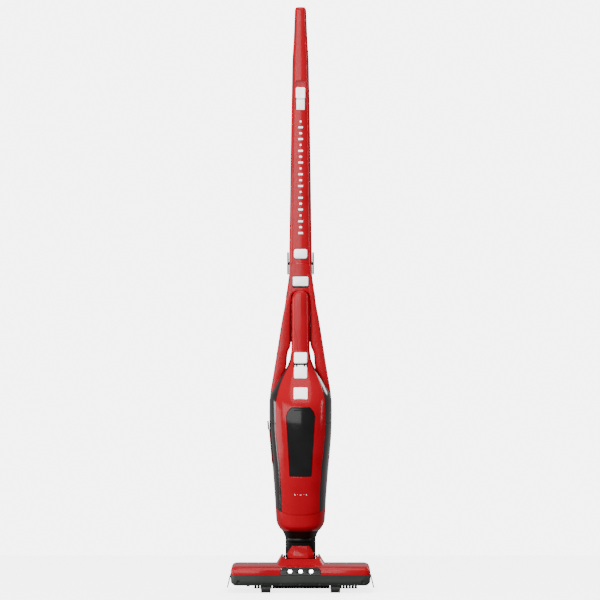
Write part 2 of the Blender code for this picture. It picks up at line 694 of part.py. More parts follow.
def hand_rings(sections, ring_of):
    """Rings up the hand unit, the lowest on the sloping rim."""
    rings = [ring_of(RIM_AT_AXIS, 48.5, 36.0, -56.0, 0.0, 41.5, 21.8, RIM_SLOPE)]
    return rings + [ring_of(*section, 0.0) for section in sections]


def front_ring(z, half, red_half, front, parting, _back_half, _back, slope):
    """Section of the red front, whose edges meet the side strips."""
    start = front_shell_spans(half, red_half)[0]
    span = (start, math.pi - start)
    return half_shell_ring(z, half, parting - GAP / 2, parting - front, -1, True, span, slope, FRONT_POWER)


def strip_ring(z, half, red_half, front, parting, _back_half, _back, slope):
    """Section of the right-hand side strip."""
    stop = front_shell_spans(half, red_half)[1]
    span = (0.0, stop)
    return half_shell_ring(z, half, parting - GAP / 2, parting - front, -1, True, span, slope, FRONT_POWER)


def back_ring(z, half, _red_half, _front, parting, back_half, back, slope, hollow=True):
    """Section of the rear casing: a narrow tray with a flange as wide as the front."""
    start = parting + GAP / 2
    flange = start + WALL
    outer = [(x, flange + y) for x, y in bow(back_half, back - flange, BACK_POWER)]
    inner = [(x, start + y) for x, y in bow(back_half - WALL, back - flange if hollow else 0.0, BACK_POWER)]
    edge = max(half, back_half + 0.4)
    points = [(edge, start), (edge, flange)] + outer + [(-edge, flange), (-edge, start)] + inner[::-1]
    return [(x, y, z + slope * y) for x, y in points]


def grip_front_rings():
    """Sections of the grip's front half."""
    for z, half, front, _back, hollow, fall in GRIP_SECTIONS:
        parting = GRIP_PARTING - GAP / 2
        yield half_shell_ring(z, half, parting, parting - front, -1, hollow, slope=-fall, power=FRONT_POWER)


def grip_back_rings():
    """Sections of the grip's rear half."""
    for z, half, _front, back, hollow, fall in GRIP_SECTIONS:
        yield back_ring(z, half, 0, 0, GRIP_PARTING, half - 0.4, back, -fall, hollow)


def window_outline(grow=0.0):
    """Outline of the dust cup's window, seen from the front, as (x, z) points."""
    middle = 285.0
    right = [(x + grow, z + math.copysign(grow, z - middle)) for x, z in WINDOW_HALF]
    return right + [(-x, z) for x, z in right[::-1]]


def prism(outline, front, back):
    """An outline of (x, z) points, run from front to back."""
    return loft([[(x, y, z) for x, z in outline] for y in (front, back)])


def build_hand_shells():
    """The casings of the hand unit: red front, rear tray and two side strips in two lengths."""
    front = piece("hand_front_shell", "hand_unit", GLOSS_RED,
                  loft(hand_rings(HAND_SECTIONS, front_ring) + list(grip_front_rings())))
    cut(front, prism(window_outline(GAP + 0.1), -90, -20))
    cut(front, sloped_block(*place_on_slope(SWITCH_PLACE, 20, 25.8, 54.4, SWITCH_SLOPE, 10), bevel=2))
    cut(front, sloped_block(*place_on_slope(RELEASE_PLACE, 30, 26.8, 26.6, RELEASE_SLOPE, 15), bevel=1.5))
    piece("hand_back_shell", "hand_unit", SMOKE,
          loft(hand_rings(HAND_SECTIONS, back_ring) + list(grip_back_rings())))
    rings = hand_rings(HAND_SECTIONS, strip_ring)
    for name in ("right", "left"):
        lower = loft(rings[:STRIP_SEAM + 3])
        upper = loft([shifted(rings[STRIP_SEAM + 2], GAP)] + rings[STRIP_SEAM + 3:])
        if name == "left":
            lower, upper = mirrored(lower), mirrored(upper)
        piece("side_trim_" + name, "hand_unit", SMOKE, lower)
        piece("side_vent_" + name, "hand_unit", SMOKE, upper)


def shifted(ring, rise):
    """The same ring a little higher."""
    return [(x, y, z + rise) for x, y, z in ring]


def place_on_slope(place, depth, width, length, slope, proud, up_shift=0.0):
    """Centre, size and slope of a box whose outer face lies proud of a sloped face."""
    up, out = along(slope)
    centre = Vector((0, place[0], place[1])) + up * up_shift + out * (proud - depth / 2)
    return centre, (width, depth, length), slope


def build_hand_controls():
    """Power switch and dust cup release on the front of the hand unit."""
    silver = SATIN_SILVER
    piece("hand_switch_track", "hand_unit", BLACK,
          sloped_block(*place_on_slope(SWITCH_PLACE, 3, 25, 53.4, SWITCH_SLOPE, -3.6), bevel=0.6))
    piece("hand_switch_plate", "hand_unit", silver,
          sloped_block(*place_on_slope(SWITCH_PLACE, 3.8, 25, 24, SWITCH_SLOPE, 0.6, -14.6), bevel=1.2))
    piece("hand_power_slider", "hand_power_slider", silver,
          sloped_block(*place_on_slope(SWITCH_PLACE, 4.0, 25, 22, SWITCH_SLOPE, 0.9, 15.6), bevel=1.6))
    piece("bin_release_button", "bin_release_button", silver,
          sloped_block(*place_on_slope(RELEASE_PLACE, 5.0, 26, 25.6, RELEASE_SLOPE, 1.2), bevel=1.4))


def build_dust_cup():
    """The smoke dust cup with its window, and the filter that closes it from behind."""
    rings = []
    for z, half, _red, front, *_rest in HAND_SECTIONS[1:9]:
        rings.append(oval(z, half - 1.2, front + 0.6, 60, 0.0, (FRONT_POWER, FRONT_POWER)))
    rings.insert(0, shifted(rings[0], -12))
    cup = piece("dust_cup", "dust_cup", SMOKE, prism(window_outline(), -75, -22))
    combine(cup, "INTERSECT", loft(rings))
    cut(cup, prism(window_outline(-2.2), -59, -10))
    plate = piece("filter_frame", "dust_cup", GREY, prism(window_outline(-0.1), -21.6, -19.2))
    cut(plate, block((-13, -40, 233), (13, 0, 253)))
    cut(plate, block((-13, -40, 282), (13, 0, 334)))
    pleats = piece("filter_cartridge", "dust_cup", FILTER, block((-19, -50, 271.5), (19, -22.2, 338), 2.5))
    cut(pleats, block((-12, -45, 281), (12, 0, 332)))


def build_hand_insides():
    """Air duct, fan, battery and board inside the hand unit, and its charging cover."""
    foot = 128.9
    outer = [(18, -17.0), (18, 9.0), (-18, 9.0), (-18, -17.0)]
    duct = piece("inlet_duct", "hand_unit", BLACK, loft([
        [(x, y, foot - EXIT_SLOPE * y) for x, y in outer],
        [(x, y, 258) for x, y in outer],
    ]))
    cut(duct, block((-15.8, -14.8, 100), (15.8, 6.8, 255.8)))
    cut(duct, block((-13, -30, 233), (13, -10, 253)))
    motor_y = -12.0
    piece("fan_motor", "hand_unit", STEEL, rod((0, motor_y, 362), (0, motor_y, 396), 19))
    spinner = piece("impeller", "impeller", BLACK, rod((0, motor_y, 352.4), (0, motor_y, 354.2), 20))
    for index in range(6):
        angle = 2 * math.pi * index / 6
        blade = block((5, -0.7, 353.8), (19, 0.7, 359.4))
        bmesh.ops.rotate(blade, verts=blade.verts, matrix=Matrix.Rotation(angle, 3, "Z"))
        bmesh.ops.translate(blade, verts=blade.verts, vec=(0, motor_y, 0))
        join(spinner, blade)
    join(spinner, rod((0, motor_y, 353), (0, motor_y, 361), 6, segments=16))
    piece("battery_pack", "hand_unit", BLACK, block((-34, -1.5, 268), (34, 15.0, 346), 2))
    piece("control_board", "hand_unit", BOARD, block((-12, 8.6, 402), (12, 10.2, 452)))
    rings = []
    for z, thick in ((241, 1.2), (271.5, 1.2), (306, 1.2), (307, 3.0), (323, 3.0)):
        side = 53.8 + (z - 241) * 0.088 + 0.1
        rings.append([(-side, -2, z), (-side, -15, z), (-side - thick, -14, z), (-side - thick, -3, z)])
    piece("charge_cover", "hand_unit", RUBBER, loft(rings))


def build():
    """Builds every sub-part on its body."""
    pivot("floor_head", (0, 0, 0))
    for name, side in (("left", -1), ("right", 1)):
        pivot("front_roller_" + name, (side * ROLLER_X, ROLLER_Y, ROLLER_RADIUS), "floor_head")
        pivot("rear_wheel_" + name, (side * WHEEL_X, WHEEL_Y, WHEEL_RADIUS), "floor_head")
    pivot("brush_roll", (0, BRUSH_Y, BRUSH_Z), "floor_head")
    pivot("motor_pulley", (BELT_X, MOTOR_Y, MOTOR_Z), "floor_head")
    pivot("brush_latch", (100, 0, 10), "floor_head")
    pivot("neck", (0, TILT_Y, TILT_Z), "floor_head")
    pivot("frame", (0, SWIVEL_Y, NECK_TOP), "neck")
    pivot("release_button", (0, 0, 591), "frame")
    pivot("handle", (0, FOLD_Y, FOLD_Z), "frame")
    pivot("power_slider", (0, 4, 955), "handle")
    pivot("fold_button", (0, 2, 644), "handle")
    pivot("hand_unit", (0, 0, RIM_AT_AXIS), "frame")
    pivot("hand_power_slider", (0, *SWITCH_PLACE), "hand_unit")
    pivot("bin_release_button", (0, *RELEASE_PLACE), "hand_unit")
    pivot("impeller", (0, -12, 355), "hand_unit")
    pivot("dust_cup", (0, -22, 285), "hand_unit")
    build_head_base()
    build_head_cover()
    build_head_bottom()
    build_brush()
    build_wheels()
    build_side_bristles()
    build_neck()
    build_cradle()
    build_frame_fittings()
    build_handle()
    build_hand_shells()
    build_hand_controls()
    build_dust_cup()
    build_hand_insides()


build()
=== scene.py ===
# %% [markdown]
# # A cordless stick vacuum cleaner
# The imported model already holds every working part at its real size: a floor head, a neck that
# tilts and swivels, a Y-shaped frame with a folding handle, and a hand unit that lifts out.
# This lesson makes its skin: the glossy red casings, the smoke plastic, the satin buttons, the
# bristles and the lights. It loads the model first.

# %% Load the imported model
import json
import math

import bmesh
import bpy
from mathutils import Matrix, Vector


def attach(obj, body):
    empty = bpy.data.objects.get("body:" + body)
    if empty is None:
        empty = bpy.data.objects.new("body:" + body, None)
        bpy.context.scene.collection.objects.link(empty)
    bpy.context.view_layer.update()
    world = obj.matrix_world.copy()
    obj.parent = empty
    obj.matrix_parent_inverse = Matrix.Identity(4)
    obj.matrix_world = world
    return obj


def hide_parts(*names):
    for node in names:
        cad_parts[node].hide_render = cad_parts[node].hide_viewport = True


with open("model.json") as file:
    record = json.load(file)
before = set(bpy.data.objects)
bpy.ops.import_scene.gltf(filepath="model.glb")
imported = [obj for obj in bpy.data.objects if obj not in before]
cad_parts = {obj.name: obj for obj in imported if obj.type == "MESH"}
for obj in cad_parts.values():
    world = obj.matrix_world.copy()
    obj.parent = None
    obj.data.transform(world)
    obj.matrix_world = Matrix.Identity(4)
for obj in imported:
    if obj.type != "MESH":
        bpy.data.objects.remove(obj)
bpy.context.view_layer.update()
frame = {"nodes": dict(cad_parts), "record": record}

# %% [markdown]
# ## Working by hand, in code
# An operator acts on everything that is selected, so each piece starts with nothing selected.
# A primitive is added, named, shaped in edit mode, and its modifiers are applied. These few
# helpers do the repeated steps. Lengths are typed in millimetres, as on a drawing, and `MM`
# turns them into metres.

# %% Small helpers for modelling
MM = 0.001


def start():
    """Nothing is selected, and Blender is in object mode."""
    if bpy.context.object and bpy.context.object.mode != "OBJECT":
        bpy.ops.object.mode_set(mode="OBJECT")
    bpy.ops.object.select_all(action="DESELECT")


def take(name):
    """Names the new object and bakes its place, turn and scale into its mesh."""
    obj = bpy.context.object
    obj.name = name
    obj.data.name = name
    bpy.ops.object.transform_apply(location=True, rotation=True, scale=True)
    return obj


def only(obj):
    """Selects one object."""
    start()
    obj.select_set(True)
    bpy.context.view_layer.objects.active = obj


def apply(obj, kind, **settings):
    """Adds a modifier and applies it at once."""
    only(obj)
    modifier = obj.modifiers.new(kind.title(), kind)
    for key, value in settings.items():
        setattr(modifier, key, value)
    bpy.ops.object.modifier_apply(modifier=modifier.name)


def edit(obj, *steps):
    """Runs edit-mode steps on the whole mesh."""
    only(obj)
    bpy.ops.object.mode_set(mode="EDIT")
    bpy.ops.mesh.select_all(action="SELECT")
    for step in steps:
        step()
    bpy.ops.object.mode_set(mode="OBJECT")


def smooth(obj, angle=35):
    """Smooth shading, except across edges sharper than the angle."""
    only(obj)
    bpy.ops.object.shade_smooth_by_angle(angle=math.radians(angle))


def round_edges(obj, width, segments=2, angle=30):
    """Rounds the sharp edges, as a mould does."""
    apply(obj, "BEVEL", width=width * MM, segments=segments, limit_method="ANGLE",
          angle_limit=math.radians(angle), harden_normals=False)


def joined(name, parts):
    """Makes one piece of many, with the origin of the first."""
    start()
    for part in parts:
        part.select_set(True)
    bpy.context.view_layer.objects.active = parts[0]
    bpy.ops.object.join()
    parts[0].name = name
    return parts[0]


def carve(obj, tool, operation="DIFFERENCE"):
    """Cuts with, or joins, another closed mesh, and throws the tool away."""
    apply(obj, "BOOLEAN", operation=operation, object=tool, solver="EXACT")
    bpy.data.objects.remove(tool, do_unlink=True)


def slab(name, low, high, bevel=0.0, segments=3):
    """A box between two corners in millimetres, rounded like a moulded block."""
    start()
    middle = [(a + b) / 2 * MM for a, b in zip(low, high)]
    bpy.ops.mesh.primitive_cube_add(size=1, location=middle)
    obj = take(name)
    size = [(b - a) * MM for a, b in zip(low, high)]
    edit(obj, lambda: bpy.ops.transform.resize(value=size, center_override=middle))
    if bevel:
        edit(obj, lambda: bpy.ops.mesh.bevel(offset=bevel * MM, segments=segments, affect="EDGES"))
    return obj


def peg(name, begin, end, radius, tip=None, sides=32):
    """A cylinder or cone between two points in millimetres."""
    begin, end = Vector(begin) * MM, Vector(end) * MM
    way = end - begin
    start()
    bpy.ops.mesh.primitive_cone_add(
        vertices=sides,
        radius1=radius * MM,
        radius2=(radius if tip is None else tip) * MM,
        depth=way.length,
        location=(begin + end) / 2,
        rotation=way.to_track_quat("Z", "Y").to_euler(),
    )
    return take(name)


print("helpers ready")

# %% [markdown]
# ## A sheet laid round sections
# A moulded casing is a thin wall that follows a few sections. It could be a coarse cage with
# subdivision, but that pulls the surface in from the sizes on the drawing. Here a flat grid is
# laid round the sections instead: its columns run round the wall and its rows run up, and the
# rows between two sections are eased so that the outline has no corners.

# %% Sheets through sections
def eased(sections, steps):
    """Rows through the sections, by a curve that never overshoots them."""
    count = len(sections)
    size = len(sections[0])
    slopes = []
    for index in range(count):
        before = sections[max(index - 1, 0)]
        here = sections[index]
        after = sections[min(index + 1, count - 1)]
        lean = []
        for a, b, c in zip(before, here, after):
            rise, climb = b - a, c - b
            lean.append(0.0 if rise * climb <= 0 else 2 * rise * climb / (rise + climb))
        slopes.append(lean)
    rows = []
    for index in range(count - 1):
        for step in range(steps):
            t = step / steps
            row = []
            for k in range(size):
                a, b = sections[index][k], sections[index + 1][k]
                m, n = slopes[index][k], slopes[index + 1][k]
                row.append(a * (1 - t) ** 2 * (1 + 2 * t) + b * t * t * (3 - 2 * t)
                           + m * t * (1 - t) ** 2 - n * t * t * (1 - t))
            rows.append(tuple(row))
    rows.append(tuple(sections[-1]))
    return rows


def sheet(name, columns, rows, place, closed=False):
    """A grid laid so that place(u, row) gives each corner in millimetres, u from 0 to 1."""
    start()
    count = len(rows) - 1
    bpy.ops.mesh.primitive_grid_add(x_subdivisions=columns, y_subdivisions=count, size=1)
    obj = take(name)
    for vertex in obj.data.vertices:
        u = vertex.co.x + 0.5
        row = rows[round((vertex.co.y + 0.5) * count)]
        vertex.co = Vector(place(u, row)) * MM
    if closed:
        edit(
            obj,
            lambda: bpy.ops.mesh.remove_doubles(threshold=0.00001),
            lambda: bpy.ops.mesh.fill_holes(sides=0),
            lambda: bpy.ops.mesh.normals_make_consistent(inside=False),
        )
    return obj


def thicken(obj, wall):
    """Gives a sheet its wall, inwards from the surface."""
    apply(obj, "SOLIDIFY", thickness=wall * MM, offset=-1.0, use_even_offset=True)


def bow(angle, half_width, depth, power):
    """A point on a rounded arch: across and forward."""
    across, forward = math.cos(angle), abs(math.sin(angle))
    x = half_width * math.copysign(abs(across) ** (2 / power), across)
    return x, depth * forward ** (2 / power)


def angle_at(x, half_width, power):
    """Where on its arch a casing is x wide."""
    return math.acos(min(1.0, x / half_width) ** (power / 2))


def oval_tube(name, sections, powers, steps=6, columns=64):
    """A closed body. Sections are z, half width, front y, widest y, back y and slope."""
    def place(u, row):
        z, half, front, middle, back, slope = row
        turn = 2 * math.pi * u
        if math.sin(turn) >= 0:
            x, deep = bow(turn, half, middle - front, powers[0])
            y = middle - deep
        else:
            x, deep = bow(turn, half, back - middle, powers[1])
            y = middle + deep
        return x, y, z + slope * y
    return sheet(name, columns, eased(sections, steps), place, closed=True)


print("sheets ready")


# %% [markdown]
# ## Finishes
# The stick is moulded plastic, so each finish is one shader with a little real unevenness: a
# slight drift in the colour, a roughness that changes from place to place, and a fine bump. The
# patterns are measured in the object's own millimetres, so that a new piece needs no mapping.
# Constants such as the coat and the index of refraction sit on the shader itself.

# %% Colours and the function that adds a node
def tone(code):
    """A colour written as six hex digits, turned into the linear values a shader wants."""
    values = []
    for place in (0, 2, 4):
        part = int(code[place:place + 2], 16) / 255
        values.append(part / 12.92 if part <= 0.04045 else ((part + 0.055) / 1.055) ** 2.4)
    return (*values, 1.0)


def add(tree, kind, links=None, values=None, **settings):
    """Adds one node, sets its choices and its numbers, and joins its inputs."""
    made = tree.nodes.new(kind)
    for key, value in settings.items():
        setattr(made, key, value)
    for key, value in (values or {}).items():
        made.inputs[key].default_value = value
    for key, source in (links or {}).items():
        tree.links.new(source, made.inputs[key])
    return made


def new_finish(name, **constants):
    """A material with one Principled shader and the object's own coordinates."""
    made = bpy.data.materials.new(name)
    made.use_nodes = True
    tree = made.node_tree
    tree.nodes.clear()
    shader = add(tree, "ShaderNodeBsdfPrincipled")
    for key, value in constants.items():
        shader.inputs[key.replace("_", " ")].default_value = value
    add(tree, "ShaderNodeOutputMaterial", {"Surface": shader.outputs[0]})
    place = add(tree, "ShaderNodeTexCoord").outputs["Object"]
    return made, tree, shader, place


def grain(tree, place, size, detail=2.0, roughness=0.5):
    """Noise whose blotches are about this many millimetres across."""
    values = {"Scale": 1000 / size, "Detail": detail, "Roughness": roughness}
    return add(tree, "ShaderNodeTexNoise", {"Vector": place}, values).outputs["Fac"]


def spread(tree, source, low, high, begin=0.3, end=0.7):
    """Turns a noise into a value between two limits."""
    values = {"From Min": begin, "From Max": end, "To Min": low, "To Max": high}
    return add(tree, "ShaderNodeMapRange", {"Value": source}, values).outputs["Result"]


def drift(tree, source, first, second):
    """Turns a noise into a colour between two."""
    made = add(tree, "ShaderNodeMix", data_type="RGBA")
    made.inputs[6].default_value = tone(first)
    made.inputs[7].default_value = tone(second)
    tree.links.new(source, made.inputs[0])
    return made.outputs[2]


def bumps(tree, source, depth):
    """A bump of this depth in millimetres."""
    values = {"Strength": 1.0, "Distance": depth * MM}
    return add(tree, "ShaderNodeBump", {"Height": source}, values).outputs["Normal"]


def moulded(name, first, second, rough, peel, depth, **constants):
    """A moulded plastic: colours, roughness limits, size of its surface grain and its depth."""
    made, tree, shader, place = new_finish(name, **constants)
    broad = grain(tree, place, 45)
    tree.links.new(drift(tree, spread(tree, broad, 0, 1), first, second), shader.inputs["Base Color"])
    middle = grain(tree, place, 11, 4)
    tree.links.new(spread(tree, middle, *rough), shader.inputs["Roughness"])
    fine = grain(tree, place, peel, 2)
    tree.links.new(bumps(tree, fine, depth), shader.inputs["Normal"])
    return made


print("finish tools ready")

# %% [markdown]
# The red casings are gloss ABS: moulded in colour, polished, with the faint orange peel of a
# moulding. A clear coat gives the sharp reflection and the body below stays a strong red.
# The buttons and the slider are ABS with satin silver paint, whose flakes show as a very fine
# grain. The side strips and the rear tray are a smoke ABS, nearly black.

# %% Plastics
gloss_red = moulded("gloss red ABS", "880514", "7e0410", (0.14, 0.22), 2.6, 0.006,
                    Specular_IOR_Level=0.07, Coat_Weight=0.04, Coat_Roughness=0.06)
satin_silver = moulded("satin silver paint", "fafafb", "f3f4f6", (0.36, 0.46), 0.45, 0.003,
                       Metallic=0.15, Specular_IOR_Level=0.5)
smoke_gloss = moulded("gloss smoke ABS", "1c1514", "140f0e", (0.1, 0.18), 3.0, 0.006,
                      Specular_IOR_Level=0.35, Coat_Weight=0.1, Coat_Roughness=0.05)
smoke_clear = moulded("tinted polycarbonate", "161616", "101010", (0.1, 0.16), 4.0, 0.005,
                      Specular_IOR_Level=0.08, Coat_Weight=0.02, Coat_Roughness=0.04)
grey_plastic = moulded("textured grey ABS", "232523", "1c1e1c", (0.42, 0.56), 0.8, 0.02,
                       Specular_IOR_Level=0.2)
black_plastic = moulded("satin black nylon", "0b0b0b", "070707", (0.3, 0.42), 0.9, 0.015,
                        Specular_IOR_Level=0.12)
black_rubber = moulded("matt black rubber", "101010", "0a0a0a", (0.62, 0.78), 1.2, 0.04,
                       Specular_IOR_Level=0.3)
white_mark = moulded("white pad printing", "f2f2f2", "e6e6e6", (0.4, 0.5), 0.8, 0.004,
                     Specular_IOR_Level=0.4)
print("plastics ready")

# %% [markdown]
# Steel parts are turned or stamped, so their fine lines run one way: the noise is stretched
# along the axis. The bristles are bundles of nylon, shown by stretched grain with a strong bump.
# The filter is white fleece that dust has greyed, the board is green resin with copper lines,
# and the lamp lenses glow.

# %% Steel, bristle, fleece, board and lamps
def stretched(tree, place, scale):
    """The coordinates squeezed, so that a noise runs in lines."""
    return add(tree, "ShaderNodeMapping", {"Vector": place}, {"Scale": scale}).outputs["Vector"]


def lined(name, first, second, rough, size, depth, scale, **constants):
    """A finish whose grain runs in lines."""
    made, tree, shader, place = new_finish(name, **constants)
    lines = grain(tree, stretched(tree, place, scale), size, 3)
    tree.links.new(drift(tree, spread(tree, lines, 0, 1), first, second), shader.inputs["Base Color"])
    tree.links.new(spread(tree, lines, *rough), shader.inputs["Roughness"])
    tree.links.new(bumps(tree, lines, depth), shader.inputs["Normal"])
    return made


steel = lined("turned steel", "b9babc", "8e9093", (0.22, 0.38), 1.2, 0.01, (0.1, 1, 1),
              Metallic=1.0)
bristle = lined("black nylon bristle", "1c1c1c", "060606", (0.4, 0.6), 0.9, 0.25, (1, 1, 0.08),
                Specular_IOR_Level=0.1)
filter_pleats = lined("filter fleece", "c9c8c2", "9d9c96", (0.8, 0.95), 2.0, 0.2, (1, 1, 0.15),
                      Specular_IOR_Level=0.2)
circuit_board = lined("green circuit board", "0c5a2a", "a8702c", (0.3, 0.5), 1.5, 0.03,
                      (1, 0.2, 1), Specular_IOR_Level=0.5)


def lamp_finish():
    """A frosted lens with the lamp's glow, brighter in its grain."""
    made, tree, shader, place = new_finish("frosted lamp lens", Roughness=0.3)
    fine = grain(tree, place, 0.9)
    tree.links.new(drift(tree, fine, "ffffff", "eef4ff"), shader.inputs["Base Color"])
    tree.links.new(drift(tree, fine, "ffffff", "eef4ff"), shader.inputs["Emission Color"])
    tree.links.new(spread(tree, fine, 9, 13), shader.inputs["Emission Strength"])
    tree.links.new(bumps(tree, fine, 0.02), shader.inputs["Normal"])
    return made


led_lens = lamp_finish()
FINISHES = {
    "gloss_red": gloss_red,
    "satin_silver": satin_silver,
    "smoke_gloss": smoke_gloss,
    "smoke_clear": smoke_clear,
    "grey_plastic": grey_plastic,
    "black_plastic": black_plastic,
    "black_rubber": black_rubber,
    "steel": steel,
    "bristle": bristle,
    "filter_pleats": filter_pleats,
    "circuit_board": circuit_board,
    "led_lens": led_lens,
}
print("finishes", len(FINISHES))

# %% [markdown]
# ## The working parts keep their shape
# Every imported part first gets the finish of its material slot. The pieces that show are then
# made again with finer shapes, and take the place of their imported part.

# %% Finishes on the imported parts
SLOTS = {row["node"]: row["material_slot"] for row in frame["record"]["subparts"]}
for node_name, node_object in frame["nodes"].items():
    node_object.data.materials.clear()
    node_object.data.materials.append(FINISHES[SLOTS[node_name]])


def place_piece(obj, body, slot_name, *nodes):
    """Gives a new piece its finish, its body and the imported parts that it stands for."""
    obj.data.materials.clear()
    obj.data.materials.append(FINISHES[slot_name])
    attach(obj, body)
    if nodes:
        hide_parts(*nodes)
    return obj


print("packed parts with a finish", len(frame["nodes"]))

# %% [markdown]
# ## Half casings, pads and pockets
# The stick's casings are halves that meet on a flat parting line, so their section is an arch
# closed by a straight side. The buttons are blocks with a rounded outline and a finer rim, and
# each sits in a pocket that is a little larger.

# %% Tools for half casings and buttons
FRONT_POWER = 2.3
GAP = 0.3


def half_tube(name, sections, power, side, middle, columns=60, steps=5):
    """A closed half casing. Sections are z, half width, depth and slope; side -1 is the front."""
    arch_share = 0.8

    def place(u, row):
        z, half, depth, slope = row
        if u <= arch_share:
            x, deep = bow(math.pi * u / arch_share, half, depth, power)
        else:
            x, deep = half * (2 * (u - arch_share) / (1 - arch_share) - 1), 0.0
        y = middle + side * (deep + GAP / 2)
        return x, y, z + slope * y
    return sheet(name, columns, eased(sections, steps), place, closed=True)


def round_outline(obj, axis, corner, segments):
    """Rounds the four edges of a block that run along one axis: 0 is x and 1 is y."""
    only(obj)
    bpy.ops.object.mode_set(mode="EDIT")
    bpy.ops.mesh.select_all(action="DESELECT")
    shape = bmesh.from_edit_mesh(obj.data)
    for line in shape.edges:
        way = (line.verts[0].co - line.verts[1].co).normalized()
        line.select_set(abs(way[axis]) > 0.9)
    bmesh.update_edit_mesh(obj.data)
    bpy.ops.mesh.bevel(offset=corner * MM, segments=segments, affect="EDGES")
    bpy.ops.object.mode_set(mode="OBJECT")


def pad(name, low, high, corner, edge=0.8):
    """A block whose outline, seen from the front, is rounded by corner and its rims by edge."""
    obj = slab(name, low, high)
    round_outline(obj, 1, corner, 6)
    if edge:
        round_edges(obj, edge, 3, 40)
    return obj


def lean(obj, centre, slope):
    """Leans a piece back about a point, by an angle in degrees."""
    middle = Matrix.Translation(Vector(centre) * MM)
    obj.data.transform(middle @ Matrix.Rotation(-math.radians(slope), 4, "X") @ middle.inverted())


print("half casings ready")

# %% [markdown]
# ## The upper handle
# A long tapering handle of two red halves. The front half has a pocket for the fold button near
# its foot and a long one for the main switch. The top is nearly flat with small round corners.

# %% Handle halves
HANDLE_PARTING = 22.0
HANDLE = (
    (626.05, 22.2, 2.0, 42.0),
    (632.0, 22.2, 2.0, 42.0),
    (748.0, 20.5, 3.0, 41.0),
    (863.0, 18.8, 4.0, 40.0),
    (960.0, 17.0, 5.2, 39.0),
    (1017.0, 15.8, 6.0, 38.0),
    (1056.0, 13.5, 6.8, 37.0),
    (1106.0, 11.4, 8.0, 36.0),
    (1114.5, 11.0, 8.6, 35.4),
    (1118.4, 9.8, 9.8, 34.2),
    (1119.8, 8.0, 11.6, 32.4),
    (1120.0, 6.0, 13.6, 30.4),
)


def handle_half(name, side):
    """One half of the handle's casing."""
    rows = []
    for z, half, front, back in HANDLE:
        depth = (HANDLE_PARTING - front if side < 0 else back - HANDLE_PARTING) - GAP / 2
        rows.append((z, half, depth, 0.0))
    return half_tube(name, rows, 2.6, side, HANDLE_PARTING)


handle_face = handle_half("handle_front_skin", -1)
carve(handle_face, pad("fold_pocket", (-13.8, -6, 633.7), (13.8, 14, 654.3), 4.8, 0))
carve(handle_face, pad("switch_pocket", (-9.8, -6, 920.2), (9.8, 9.6, 977.6), 3.4, 0))
smooth(handle_face, 30)
place_piece(handle_face, "handle", "gloss_red", "handle_front")

handle_rear = handle_half("handle_back_skin", 1)
carve(handle_rear, slab("fold_room", (-30, 29, 620), (30, 50, 632.4)))
carve(handle_rear, peg("fold_barrel", (-21.6, 36, 626), (21.6, 36, 626), 6.0), "UNION")
carve(handle_rear, slab("barrel_root", (-21.2, 30.4, 626.5), (21.2, 41.4, 634)), "UNION")
smooth(handle_rear, 30)
place_piece(handle_rear, "handle", "gloss_red", "handle_back")
print("handle", len(handle_face.data.polygons), len(handle_rear.data.polygons))

# %% [markdown]
# The switch on the handle is a slider with a raised frame round a shallow dish, above a plain
# plate. Both are satin silver.

# %% Handle switch
def dish(obj, inset, depth, low_y):
    """Sinks the face that looks forward: inset leaves a frame, depth is how far it goes in."""
    only(obj)
    bpy.ops.object.mode_set(mode="EDIT")
    bpy.ops.mesh.select_all(action="DESELECT")
    shape = bmesh.from_edit_mesh(obj.data)
    faces = [
        face for face in shape.faces
        if face.normal.y < -0.9 and face.calc_center_median().y < low_y * MM
    ]
    front = max(faces, key=lambda face: face.calc_area())
    front.select_set(True)
    bmesh.update_edit_mesh(obj.data)
    bpy.ops.mesh.inset(thickness=inset * MM, depth=0)
    bpy.ops.mesh.inset(thickness=0.35 * MM, depth=-depth * MM)
    bpy.ops.object.mode_set(mode="OBJECT")


slider = pad("handle_switch", (-8.9, 3.3, 942.2), (8.9, 9.4, 964.4), 3.2, 1.0)
dish(slider, 2.0, 0.5, 6)
smooth(slider, 40)
place_piece(slider, "power_slider", "satin_silver", "power_slider")

switch_plate = pad("handle_switch_plate", (-7.8, 4.8, 921.2), (7.8, 11.5, 941.6), 0.8, 0.5)
smooth(switch_plate, 40)
place_piece(switch_plate, "handle", "satin_silver", "slide_plate")

fold_button = pad("fold_button_cap", (-12.7, 0.6, 634.9), (12.7, 6.5, 653.1), 4.2, 1.5)
smooth(fold_button, 40)
place_piece(fold_button, "fold_button", "satin_silver", "fold_button")
print("handle switch and fold button ready")

# %% [markdown]
# The real handle carries printing here. It is stood for by a plain ladder of bars, long and
# short by turns, printed in white and under a tenth of a millimetre proud.

# %% Printed bars on the handle
def between(rows, z):
    """The values at a height, straight between two rows that begin with their height."""
    for low, high in zip(rows, rows[1:]):
        if low[0] <= z <= high[0]:
            t = (z - low[0]) / (high[0] - low[0])
            return [a + (b - a) * t for a, b in zip(low, high)]
    return list(rows[-1])


def print_mark(name, low, high):
    """One flat mark with soft corners."""
    mark = pad(name, low, high, 0.7, 0)
    smooth(mark, 40)
    return mark


bars = []
for index in range(20):
    z = 684 + index * 11.3
    width = (4.4, 2.6, 4.4, 1.6)[index % 4]
    face_y = between(HANDLE, z)[2]
    bars.append(print_mark("handle_mark", (-width, face_y - 0.08, z - 1.7), (width, face_y + 0.6, z + 1.7)))
marks = joined("handle_marks", bars)
place_piece(marks, "handle", "satin_silver")
marks.data.materials.clear()
marks.data.materials.append(white_mark)
print("printed bars", len(bars))

